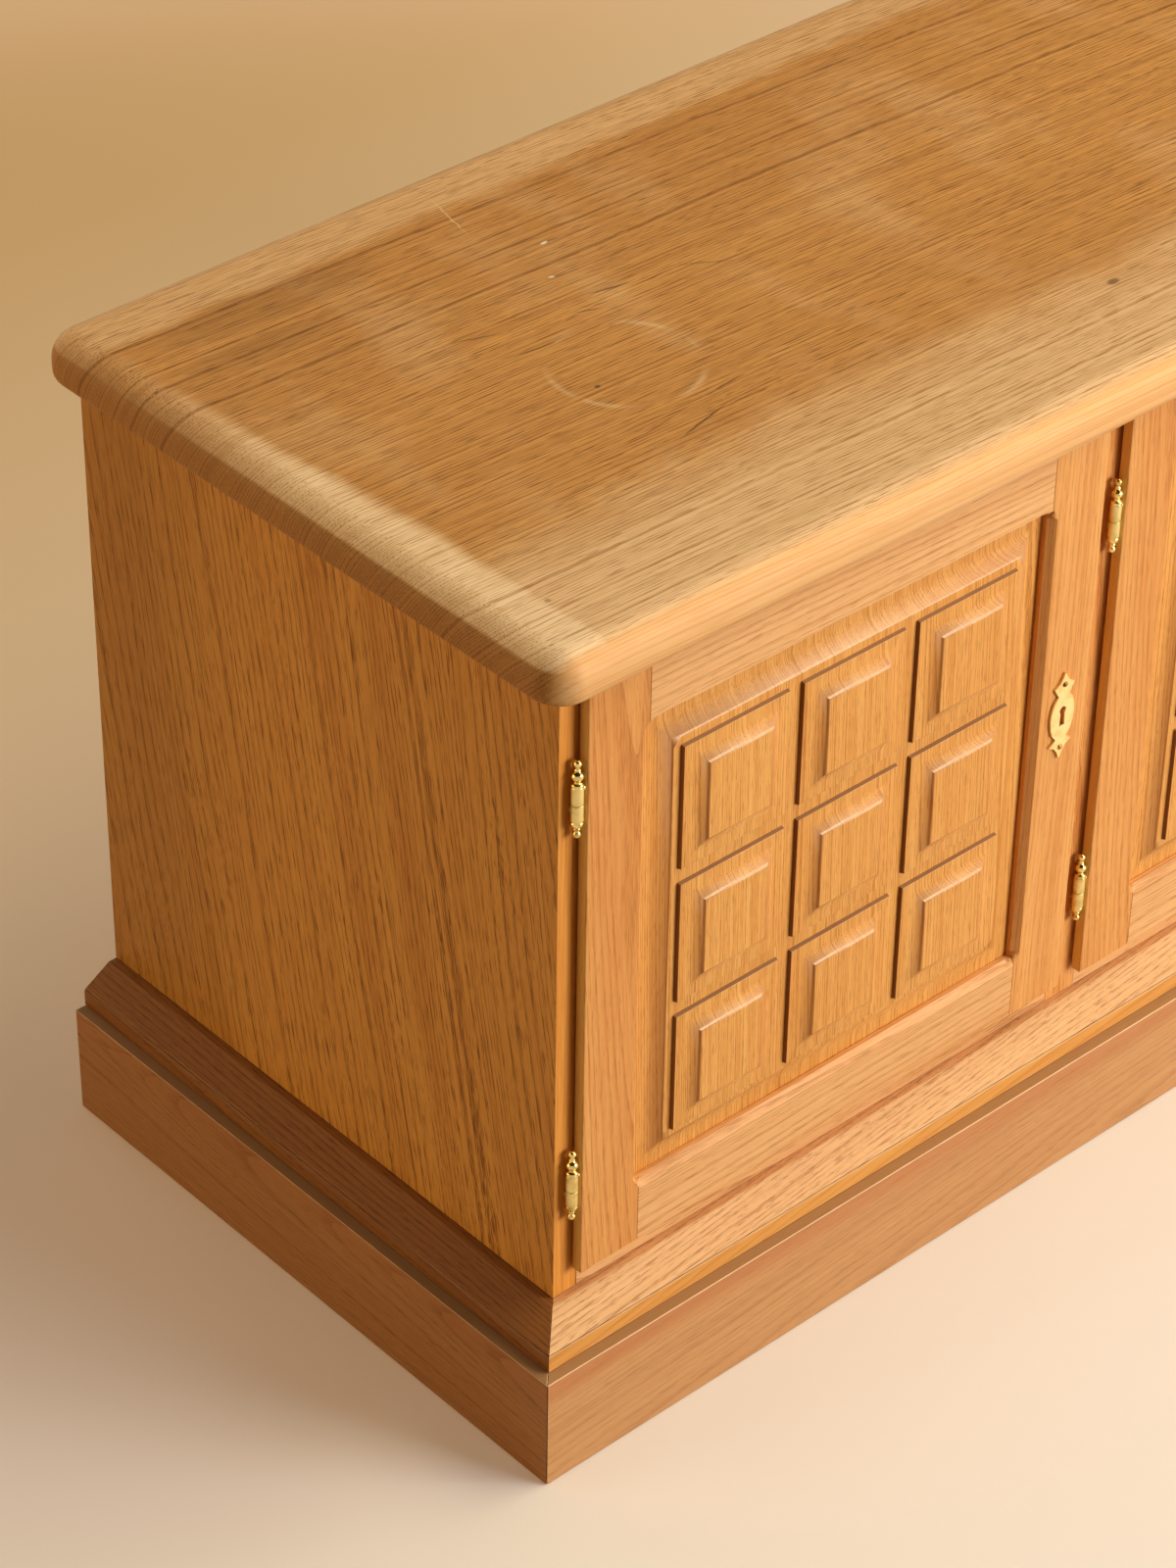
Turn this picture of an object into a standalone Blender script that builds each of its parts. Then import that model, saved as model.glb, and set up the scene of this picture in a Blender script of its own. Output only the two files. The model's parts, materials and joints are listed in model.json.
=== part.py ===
"""Low oak sideboard on a plinth: three framed doors with carved panels, hung on turned brass hinges."""

import math

import bmesh
import bpy

# Fits
SEAT = 0.0003  # gap wherever two pieces touch
DOOR_SIDE_GAP = 0.0015  # door's inner part to the sides of its bay
DOOR_BACK_GAP = 0.0015  # back of the door's lip to the carcass front
BOLT_GAP = 0.0003  # lock bolt to its channel, all round
CUTTER_MARGIN = 0.001  # how far a cutter runs past the faces it cuts
WELD = 0.000001
SAME_AREA = 0.001  # relative difference under which two faces count as equal
SHARP_ANGLE = 35  # degrees; softer edges are shaded smooth
ROUND_STEPS = 2  # facets on an eased arris

# Carcass
BAYS = 3
BAY_WIDTH = 0.447
BAY_HEIGHT = 0.461
CARCASS_DEPTH = 0.472
SIDE_THICKNESS = 0.020
DIVIDER_THICKNESS = 0.028
BOTTOM_THICKNESS = 0.024
FOOT_DEPTH = 0.020  # divider's foot, let into the front of the bottom board
BACK_THICKNESS = 0.006
BACK_INSET = 0.004  # back panel's rear face in from the sides' rear edges
BACK_REBATE = 0.010  # width of the sides' rebate for the back panel
SHELF_THICKNESS = 0.018
SHELF_SETBACK = 0.045
SHELF_CLEAR = 0.222  # bottom board to the shelf
HOUSING_DEPTH = 0.006

# Plinth and base moulding
PLINTH_HEIGHT = 0.090
PLINTH_THICKNESS = 0.022
PLINTH_PROJECTION = 0.0376  # plinth face in front of the carcass face
BLOCK_LEG = 0.040
BLOCK_SETBACK = 0.010  # glue block in from the plinth's top and bottom
MOULDING_HEIGHT = 0.028
MOULDING_WIDTH = 0.058
MOULDING_STEP = 0.0087  # moulding's face in from the plinth face
MOULDING_BAND = 0.0115  # upright part of the moulding's face
MOULDING_NOSE_RADIUS = 0.004
MOULDING_NOSE_SWEEP = 60  # degrees of nose between the band and the slope
MOULDING_LEDGE = 0.006  # flat between the slope and the carcass

# Top
TOP_THICKNESS = 0.037
TOP_OVERHANG = 0.019
TOP_UPPER_RADIUS = 0.020
TOP_LOWER_RADIUS = 0.010
TOP_CORNER_RADIUS = 0.024
TOP_CORNER_STEPS = 4
TOP_UPPER_STEPS = 5
TOP_LOWER_STEPS = 3

# Door frame
DOOR_THICKNESS = 0.022
DOOR_PROUD = 0.0095  # door front in front of the carcass front
HINGE_LIP = 0.0045  # door's overlap on the carcass at each edge
LOCK_LIP = 0.002
BOTTOM_LIP = 0.004
TOP_REVEAL = 0.0025  # gap under the top board
STILE_WIDTH = 0.050
TOP_RAIL_WIDTH = 0.045
BOTTOM_RAIL_WIDTH = 0.049
DOOR_ARRIS = 0.0012
FRAME_CHAMFER = 0.005
CHAMFER_CORNER_RADIUS = 0.005
CHAMFER_CORNER_STEPS = 3
TENON_LENGTH = 0.025
TENON_SHOULDER = 0.010

# Carved panel
TONGUE_DEPTH = 0.008  # panel edge inside the frame's groove
TONGUE_FRONT = 0.009  # behind the door front
TONGUE_THICKNESS = 0.007
PANEL_BORDER = 0.0115
FIELD_COVE = 0.0115
FIELD_FOOT = 3  # degrees of slope where the hollow leaves the flat
FIELD_RISE = 0.0065
FIELD_BAND = 0.006
CELLS = 3  # rows and columns of raised cells
CELL_GROOVE = 0.0113
CELL_RISE = 0.003
CELL_WALL = 0.0006  # slope of the cell's low wall
CELL_BORDER = 0.0094
CELL_COVE = 0.009
CELL_FOOT = 16
PLATEAU_RISE = 0.005
COVE_STEPS = 3

# Hinges
HINGE_OFFSET = 0.005  # axis outside the door's hinge edge
HINGE_TOP_INSET = 0.0785  # door top to the upper hinge's seam
HINGE_LOW_INSET = 0.0736  # door bottom to the lower hinge's seam
HINGE_SEGMENTS = 10
STEM_SEGMENTS = 8
KNUCKLE_RADIUS = 0.0042
KNUCKLE_LENGTH = 0.013
PIN_RADIUS = 0.0014
PIN_LENGTH = 0.009
COLLAR_LENGTH = 0.0032
COLLAR_FLAT = 0.0012  # straight part of a collar before it narrows
NECK_RADIUS = 0.0023
BEAD_HEIGHT = 0.0074
BEAD_STEPS = 4
BALL_RADIUS = 0.0028
CUP_LENGTH = 0.0052
COLLAR_NECK = 0.0008  # between the collar and the bead
TOP_NECK = 0.0024  # between the bead and the top ball
FOOT_NECK = 0.0018  # between the cup and the bottom ball
STEM_RADIUS = 0.0019
STEM_DEPTH = 0.013  # length in the wood
STEM_START = 0.003  # inside the knuckle, outside the pin's bore
DOOR_STEM_HEIGHT = 0.0105  # above the seam
FIXED_STEM_HEIGHT = 0.0065  # below the seam

# Lock and escutcheon
LOCK_HEIGHT = 0.2474  # door bottom to the keyhole plate's centre
LOCK_CASE_HEIGHT = 0.052
LOCK_CASE_WIDTH = 0.036
LOCK_CASE_DEPTH = 0.009
BOLT_LENGTH = 0.026
BOLT_HEIGHT = 0.012
BOLT_THICKNESS = 0.0045
BOLT_SETBACK = 0.0005  # retracted bolt inside the case's edge
STRIKE_HEIGHT = 0.044
STRIKE_WIDTH = 0.014
STRIKE_THICKNESS = 0.0016
STRIKE_MORTISE = 0.010
STRIKE_SLOT_GAP = 0.001  # slot around the bolt
PLATE_THICKNESS = 0.0018
PLATE_HALF_HEIGHT = 0.0356
KEY_RADIUS = 0.0031
KEY_SLOT_TOP = 0.0042
KEY_SLOT_BOTTOM = 0.0050
KEY_HEIGHT = 0.0158
KEY_STEPS = 5
KEY_SWEEP = 140  # degrees of the keyhole's round head on each side
# Right half of the plate from its top tip to its bottom tip, as parts of its half height
PLATE_OUTLINE = (
    (0.000, 1.000),
    (0.056, 0.885),
    (0.126, 0.787),
    (0.261, 0.697),
    (0.197, 0.576),
    (0.140, 0.486),
    (0.242, 0.365),
    (0.298, 0.197),
    (0.317, 0.000),
    (0.298, -0.197),
    (0.247, -0.371),
    (0.140, -0.506),
    (0.197, -0.562),
    (0.298, -0.632),
    (0.146, -0.716),
    (0.062, -0.843),
    (0.000, -1.000),
)

# Places that follow from the sizes
LENGTH = 2 * (PLINTH_PROJECTION + SIDE_THICKNESS) + BAYS * BAY_WIDTH + (BAYS - 1) * DIVIDER_THICKNESS
DEPTH = PLINTH_PROJECTION + CARCASS_DEPTH + TOP_OVERHANG
LEFT = -LENGTH / 2
FRONT = -DEPTH / 2
CARCASS_LEFT = LEFT + PLINTH_PROJECTION
CARCASS_FRONT = FRONT + PLINTH_PROJECTION
CARCASS_BACK = CARCASS_FRONT + CARCASS_DEPTH
CARCASS_BOTTOM = PLINTH_HEIGHT + MOULDING_HEIGHT
BAY_FLOOR = CARCASS_BOTTOM + BOTTOM_THICKNESS
TOP_UNDERSIDE = BAY_FLOOR + BAY_HEIGHT
PANEL_BACK = CARCASS_BACK - BACK_INSET
PANEL_FRONT = PANEL_BACK - BACK_THICKNESS
BOARD_BACK = PANEL_FRONT - SEAT
SHELF_FRONT = CARCASS_FRONT + SHELF_SETBACK
SHELF_BOTTOM = BAY_FLOOR + SHELF_CLEAR
SHELF_TOP = SHELF_BOTTOM + SHELF_THICKNESS
FIRST_BAY = CARCASS_LEFT + SIDE_THICKNESS
BAY_PITCH = BAY_WIDTH + DIVIDER_THICKNESS
MITRE_GAP = SEAT / math.sqrt(2)

DOOR_WIDTH = BAY_WIDTH + HINGE_LIP + LOCK_LIP
DOOR_BOTTOM = BAY_FLOOR - BOTTOM_LIP
DOOR_TOP = TOP_UNDERSIDE - TOP_REVEAL
DOOR_FRONT = CARCASS_FRONT - DOOR_PROUD
LIP_THICKNESS = DOOR_PROUD - DOOR_BACK_GAP
HINGE_REBATE = HINGE_LIP + DOOR_SIDE_GAP
LOCK_REBATE = LOCK_LIP + DOOR_SIDE_GAP
BOTTOM_REBATE = BOTTOM_LIP + DOOR_SIDE_GAP
AXIS_DEPTH = LIP_THICKNESS / 2
AXIS_Y = DOOR_FRONT + AXIS_DEPTH
OPENING_LEFT = STILE_WIDTH
OPENING_RIGHT = DOOR_WIDTH - STILE_WIDTH
OPENING_LOW = DOOR_BOTTOM + BOTTOM_RAIL_WIDTH
OPENING_HIGH = DOOR_TOP - TOP_RAIL_WIDTH
SEAMS = (("top", DOOR_TOP - HINGE_TOP_INSET), ("low", DOOR_BOTTOM + HINGE_LOW_INSET))
LOCK_Z = DOOR_BOTTOM + LOCK_HEIGHT
LOCK_U = DOOR_WIDTH - STILE_WIDTH / 2
LOCK_EDGE = DOOR_WIDTH - LOCK_REBATE
CASE_FRONT = DOOR_THICKNESS - LOCK_CASE_DEPTH
BOLT_DEPTH = CASE_FRONT + LOCK_CASE_DEPTH / 2


def solid(name, edit, surface, parent=None, smooth=False):
    """One object with its own material from an edit mesh. Without a surface it is a cutter."""
    bmesh.ops.recalc_face_normals(edit, faces=edit.faces[:])
    mesh = bpy.data.meshes.new(name)
    edit.to_mesh(mesh)
    edit.free()
    if smooth:
        mesh.shade_smooth()
        mesh.set_sharp_from_angle(angle=math.radians(SHARP_ANGLE))
    made = bpy.data.objects.new(name, mesh)
    bpy.context.scene.collection.objects.link(made)
    made.parent = parent
    if surface is None:
        made.hide_render = True
        made.display_type = "WIRE"
        return made
    colour, roughness, metallic = surface
    material = bpy.data.materials.new(name)
    material.use_nodes = True
    shader = material.node_tree.nodes["Principled BSDF"]
    shader.inputs["Base Color"].default_value = (*colour, 1.0)
    shader.inputs["Roughness"].default_value = roughness
    shader.inputs["Metallic"].default_value = metallic
    mesh.materials.append(material)
    return made


def block(size):
    edit = bmesh.new()
    bmesh.ops.create_cube(edit, size=1)
    bmesh.ops.scale(edit, vec=size, verts=edit.verts[:])
    return edit


def box(name, x, y, z, surface=None, parent=None):
    """A plain block between its limits on each axis, with its origin at its middle."""
    made = solid(name, block([high - low for low, high in (x, y, z)]), surface, parent)
    made.location = [(low + high) / 2 for low, high in (x, y, z)]
    return made


def prism(name, outline, along, surface=None, parent=None):
    """A flat outline extruded along a vector."""
    edit = bmesh.new()
    face = edit.faces.new([edit.verts.new(point) for point in outline])
    pushed = bmesh.ops.extrude_face_region(edit, geom=[face])["geom"]
    moved = [item for item in pushed if isinstance(item, bmesh.types.BMVert)]
    bmesh.ops.translate(edit, vec=along, verts=moved)
    return solid(name, edit, surface, parent)


def bridge(name, near, far, surface=None, parent=None):
    """A body between two flat outlines with the same number of points."""
    edit = bmesh.new()
    ends = [edit.faces.new([edit.verts.new(point) for point in outline]) for outline in (near, far)]
    bmesh.ops.bridge_loops(edit, edges=[edge for end in ends for edge in end.edges])
    return solid(name, edit, surface, parent)


def rod(name, centre, along, radius, span, parent=None):
    """A straight round cutter or stem through a centre, along 'x' or 'y' between two distances."""
    edit = bmesh.new()
    length = abs(span[1] - span[0])
    bmesh.ops.create_cone(
        edit, cap_ends=True, segments=STEM_SEGMENTS, radius1=radius, radius2=radius, depth=length
    )
    made = solid(name, edit, None, parent)
    middle = (span[0] + span[1]) / 2
    if along == "x":
        made.rotation_euler = (0, math.pi / 2, 0)
        made.location = (centre[0] + middle, centre[1], centre[2])
    else:
        made.rotation_euler = (math.pi / 2, 0, 0)
        made.location = (centre[0], centre[1] + middle, centre[2])
    return made


def turned(name, outline, place, surface, parent=None):
    """A body turned about an upright axis, from an outline that starts and ends on the axis."""
    edit = bmesh.new()
    points = [edit.verts.new((radius, 0, height)) for radius, height in outline]
    edges = [edit.edges.new(pair) for pair in zip(points, points[1:])]
    bmesh.ops.spin(
        edit,
        geom=points + edges,
        cent=(0, 0, 0),
        axis=(0, 0, 1),
        angle=math.tau,
        steps=HINGE_SEGMENTS,
    )
    bmesh.ops.remove_doubles(edit, verts=edit.verts[:], dist=WELD)
    made = solid(name, edit, surface, parent, smooth=True)
    made.location = place
    return made


def cut(target, tool, operation="DIFFERENCE"):
    step = target.modifiers.new(tool.name, "BOOLEAN")
    step.operation = operation
    step.solver = "EXACT"
    step.object = tool


def arc(centre, radius, start, end, steps):
    """Points on an arc, angles in degrees."""
    turns = [math.radians(start + (end - start) * i / steps) for i in range(steps + 1)]
    return [(centre[0] + radius * math.cos(t), centre[1] + radius * math.sin(t)) for t in turns]


def rounded_rectangle(half_x, half_y, radius):
    points = []
    for quarter, (side_x, side_y) in enumerate(((1, 1), (-1, 1), (-1, -1), (1, -1))):
        centre = (side_x * (half_x - radius), side_y * (half_y - radius))
        points += arc(centre, radius, 90 * quarter, 90 * quarter + 90, CHAMFER_CORNER_STEPS)
    return points


def raised(outline, level):
    return [(*point, level) for point in outline]


def hollow(width, rise, foot):
    """A round hollow from its slope at the foot to its arris, as (reach in, height) pairs after the foot."""
    start = math.radians(foot)
    sweep = 2 * (math.atan2(rise, width) - start)
    radius = width / (math.sin(start + sweep) - math.sin(start))
    points = []
    for step in range(1, COVE_STEPS + 1):
        slope = start + sweep * step / COVE_STEPS
        across = radius * (math.sin(slope) - math.sin(start))
        up = radius * (math.cos(start) - math.cos(slope))
        points.append((across, up))
    return points


for old in list(bpy.data.objects):
    bpy.data.objects.remove(old)

# Each surface is a colour, a roughness and a metallic value
OAK_TOP = ((0.40, 0.25, 0.12), 0.45, 0.0)
OAK_SIDE = ((0.38, 0.22, 0.10), 0.50, 0.0)
OAK_FRAME = ((0.45, 0.27, 0.12), 0.45, 0.0)
OAK_PANEL = ((0.43, 0.26, 0.12), 0.48, 0.0)
OAK_BASE = ((0.45, 0.26, 0.11), 0.48, 0.0)
OAK_INSIDE = ((0.50, 0.34, 0.19), 0.60, 0.0)
BRASS = ((0.78, 0.57, 0.22), 0.28, 1.0)
STEEL = ((0.50, 0.50, 0.50), 0.40, 1.0)

# Top board: rounded in plan at the corners, then in section all round
def edges_of(edit, chosen):
    return [edge for edge in edit.edges if chosen(*[vert.co for vert in edge.verts])]


top_edit = block((LENGTH - 2 * (PLINTH_PROJECTION - TOP_OVERHANG), CARCASS_DEPTH + 2 * TOP_OVERHANG, TOP_THICKNESS))
for radius, steps, chosen in (
    (TOP_CORNER_RADIUS, TOP_CORNER_STEPS, lambda a, b: abs(a.z - b.z) > WELD),
    (TOP_UPPER_RADIUS, TOP_UPPER_STEPS, lambda a, b: min(a.z, b.z) > TOP_THICKNESS / 2 - WELD),
    (TOP_LOWER_RADIUS, TOP_LOWER_STEPS, lambda a, b: max(a.z, b.z) < WELD - TOP_THICKNESS / 2),
):
    bmesh.ops.bevel(
        top_edit,
        geom=edges_of(top_edit, chosen),
        offset=radius,
        offset_type="OFFSET",
        segments=steps,
        profile=0.5,
        affect="EDGES",
    )
bmesh.ops.remove_doubles(top_edit, verts=top_edit.verts[:], dist=WELD)
top_board = solid("top_board", top_edit, OAK_TOP, smooth=True)
top_board.location = (0, (CARCASS_FRONT + CARCASS_BACK) / 2, TOP_UNDERSIDE + TOP_THICKNESS / 2)

# Sides: a rebate at the back for the back panel, a housing for the shelf
side_z = (CARCASS_BOTTOM + SEAT, TOP_UNDERSIDE - SEAT)
sides = {}
for name, hand in (("side_left", -1), ("side_right", 1)):
    outer = hand * (LENGTH / 2 - PLINTH_PROJECTION)
    inner = outer - hand * SIDE_THICKNESS
    rebate = inner + hand * BACK_REBATE
    outline = (
        (outer, CARCASS_FRONT),
        (inner, CARCASS_FRONT),
        (inner, BOARD_BACK),
        (rebate, BOARD_BACK),
        (rebate, CARCASS_BACK),
        (outer, CARCASS_BACK),
    )
    sides[hand] = prism(name, raised(outline, side_z[0]), (0, 0, side_z[1] - side_z[0]), OAK_SIDE)

# Dividers: the front foot reaches down to the base through the bottom board
divider_z = (BAY_FLOOR + SEAT, TOP_UNDERSIDE - SEAT)
dividers = {}
for index, name in enumerate(("divider_left", "divider_right")):
    left = FIRST_BAY + (index + 1) * BAY_WIDTH + index * DIVIDER_THICKNESS
    foot_back = CARCASS_FRONT + FOOT_DEPTH
    outline = (
        (CARCASS_FRONT, CARCASS_BOTTOM + SEAT),
        (foot_back, CARCASS_BOTTOM + SEAT),
        (foot_back, divider_z[0]),
        (BOARD_BACK, divider_z[0]),
        (BOARD_BACK, divider_z[1]),
        (CARCASS_FRONT, divider_z[1]),
    )
    upright = [(left, *point) for point in outline]
    dividers[index] = prism(name, upright, (DIVIDER_THICKNESS, 0, 0), OAK_FRAME)

# Bottom board between the sides, notched for the dividers' feet
bottom_x = (FIRST_BAY + SEAT, -FIRST_BAY - SEAT)
bottom_outline = [(bottom_x[0], CARCASS_FRONT)]
for index in range(BAYS - 1):
    left = FIRST_BAY + (index + 1) * BAY_WIDTH + index * DIVIDER_THICKNESS - SEAT
    right = left + DIVIDER_THICKNESS + 2 * SEAT
    notch = CARCASS_FRONT + FOOT_DEPTH + SEAT
    bottom_outline += [(left, CARCASS_FRONT), (left, notch), (right, notch), (right, CARCASS_FRONT)]
bottom_outline += [(bottom_x[1], CARCASS_FRONT), (bottom_x[1], BOARD_BACK), (bottom_x[0], BOARD_BACK)]
bottom_outline = raised(bottom_outline, CARCASS_BOTTOM + SEAT)
prism("bottom_board", bottom_outline, (0, 0, BOTTOM_THICKNESS - SEAT), OAK_FRAME)

# Back panel, in the sides' rebates and over the ends of the dividers, shelves and bottom board
back_x = FIRST_BAY - BACK_REBATE + SEAT
box("back_panel", (back_x, -back_x), (PANEL_FRONT, PANEL_BACK), side_z, OAK_INSIDE)

# Shelves, each in a housing at both ends that is open at the back
for bay in range(BAYS):
    left = FIRST_BAY + bay * BAY_PITCH
    right = left + BAY_WIDTH
    reach = HOUSING_DEPTH - SEAT
    box(
        f"shelf_{bay + 1}",
        (left - reach, right + reach),
        (SHELF_FRONT, BOARD_BACK),
        (SHELF_BOTTOM, SHELF_TOP),
        OAK_INSIDE,
    )
    housing = box(
        f"cut_housing_{bay + 1}",
        (left - HOUSING_DEPTH, right + HOUSING_DEPTH),
        (SHELF_FRONT - SEAT, CARCASS_BACK + CUTTER_MARGIN),
        (SHELF_BOTTOM - SEAT, SHELF_TOP + SEAT),
    )
    cut(dividers[bay - 1] if bay else sides[-1], housing)
    cut(dividers[bay] if bay < BAYS - 1 else sides[1], housing)

# Base moulding: one section round the front and both ends, mitred at the front corners
nose_centre = (MOULDING_STEP + MOULDING_NOSE_RADIUS, PLINTH_HEIGHT + SEAT + MOULDING_BAND)
moulding_inner = MOULDING_STEP + MOULDING_WIDTH
section = [(MOULDING_STEP, PLINTH_HEIGHT + SEAT)]
section += arc(nose_centre, MOULDING_NOSE_RADIUS, 180, 180 - MOULDING_NOSE_SWEEP, ROUND_STEPS)
section += [
    (PLINTH_PROJECTION - MOULDING_LEDGE, CARCASS_BOTTOM),
    (moulding_inner, CARCASS_BOTTOM),
    (moulding_inner, PLINTH_HEIGHT + SEAT),
]
ends = [
    [(hand * (LENGTH / 2 - inset - MITRE_GAP), FRONT + inset, z) for inset, z in section] for hand in (-1, 1)
]
bridge("base_moulding_front", *ends, OAK_BASE)
for name, hand in (("base_moulding_left", -1), ("base_moulding_right", 1)):
    near = [(hand * (LENGTH / 2 - inset), FRONT + inset + MITRE_GAP, z) for inset, z in section]
    far = [(hand * (LENGTH / 2 - inset), CARCASS_BACK, z) for inset, z in section]
    bridge(name, near, far, OAK_BASE)
rail_x = LENGTH / 2 - moulding_inner - SEAT
box(
    "base_rail_back",
    (-rail_x, rail_x),
    (CARCASS_BACK - MOULDING_WIDTH, CARCASS_BACK),
    (PLINTH_HEIGHT + SEAT, CARCASS_BOTTOM),
    OAK_BASE,
)

# Plinth: three boards mitred at the front corners, a back board between them and two glue blocks
front_outline = [(hand * (LENGTH / 2 - MITRE_GAP), FRONT) for hand in (-1, 1)]
front_outline += [
    (hand * (LENGTH / 2 - PLINTH_THICKNESS - MITRE_GAP), FRONT + PLINTH_THICKNESS) for hand in (1, -1)
]
prism("plinth_front", raised(front_outline, 0), (0, 0, PLINTH_HEIGHT), OAK_BASE)
for name, hand in (("left", -1), ("right", 1)):
    outer = hand * LENGTH / 2
    inner = outer - hand * PLINTH_THICKNESS
    outline = (
        (outer, FRONT + MITRE_GAP),
        (inner, FRONT + PLINTH_THICKNESS + MITRE_GAP),
        (inner, CARCASS_BACK),
        (outer, CARCASS_BACK),
    )
    prism(f"plinth_{name}", raised(outline, 0), (0, 0, PLINTH_HEIGHT), OAK_BASE)
    corner = (inner - hand * SEAT, FRONT + PLINTH_THICKNESS + SEAT)
    outline = (corner, (corner[0] - hand * BLOCK_LEG, corner[1]), (corner[0], corner[1] + BLOCK_LEG))
    rise = (0, 0, PLINTH_HEIGHT - 2 * BLOCK_SETBACK)
    prism(f"plinth_block_{name}", raised(outline, BLOCK_SETBACK), rise, OAK_INSIDE)
back_board_x = LENGTH / 2 - PLINTH_THICKNESS - SEAT
box(
    "plinth_back",
    (-back_board_x, back_board_x),
    (CARCASS_BACK - PLINTH_THICKNESS, CARCASS_BACK),
    (0, PLINTH_HEIGHT),
    OAK_BASE,
)


def bead(centre, radius, half_height, closed=False):
    """Turned bead as (radius, height) points, from one neck to the next, or to a closed end on the axis."""
    start = math.asin(NECK_RADIUS / radius)
    end = math.pi if closed else math.pi - start
    turns = [start + (end - start) * i / BEAD_STEPS for i in range(BEAD_STEPS + 1)]
    return [(radius * math.sin(t), centre - half_height * math.cos(t)) for t in turns]


def mirrored(outline):
    """A closed outline from its right half, which runs from the top to the bottom."""
    return list(outline) + [(-x, z) for x, z in outline[-2:0:-1]]


def carved_panel(name, place, surface, parent):
    """Panel with a tongue all round, a raised field with a coved edge, and raised cells on the field."""
    half_u = (OPENING_RIGHT - OPENING_LEFT) / 2
    half_z = (OPENING_HIGH - OPENING_LOW) / 2
    tongue = TONGUE_DEPTH - SEAT
    edit = block((2 * (half_u + tongue), TONGUE_THICKNESS, 2 * (half_z + tongue)))
    edit.normal_update()
    front = [face for face in edit.faces if face.normal.y < -0.5]

    def step_in(faces, width, rise):
        bmesh.ops.inset_individual(edit, faces=faces, thickness=width, depth=rise, use_even_offset=True)

    def cove(faces, width, rise, foot):
        done = (0, 0)
        for reach, height in hollow(width, rise, foot):
            step_in(faces, reach - done[0], height - done[1])
            done = (reach, height)

    step_in(front, tongue + PANEL_BORDER, 0)
    cove(front, FIELD_COVE, FIELD_RISE, FIELD_FOOT)

    # The field is divided along the edges of the cells, which then rise from it
    field = set(front)
    inset = PANEL_BORDER + FIELD_COVE + FIELD_BAND
    cell_sizes = []
    for axis, half in ((0, half_u), (2, half_z)):
        cell = (2 * (half - inset) - (CELLS - 1) * CELL_GROOVE) / CELLS
        cell_sizes.append(cell)
        for i in range(CELLS):
            start = inset - half + i * (cell + CELL_GROOVE)
            for stop in (start, start + cell):
                point = [0, 0, 0]
                point[axis] = stop
                normal = [0, 0, 0]
                normal[axis] = 1
                items = {item for face in field for item in (face, *face.edges, *face.verts)}
                pieces = bmesh.ops.bisect_plane(
                    edit, geom=list(items), dist=WELD, plane_co=point, plane_no=normal
                )["geom"]
                field = {item for item in pieces if isinstance(item, bmesh.types.BMFace)}
    area = cell_sizes[0] * cell_sizes[1]
    cells = [face for face in field if math.isclose(face.calc_area(), area, rel_tol=SAME_AREA)]
    step_in(cells, CELL_WALL, CELL_RISE)
    step_in(cells, CELL_BORDER, 0)
    cove(cells, CELL_COVE, PLATEAU_RISE, CELL_FOOT)
    made = solid(name, edit, surface, parent)
    made.location = place
    return made


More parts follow.
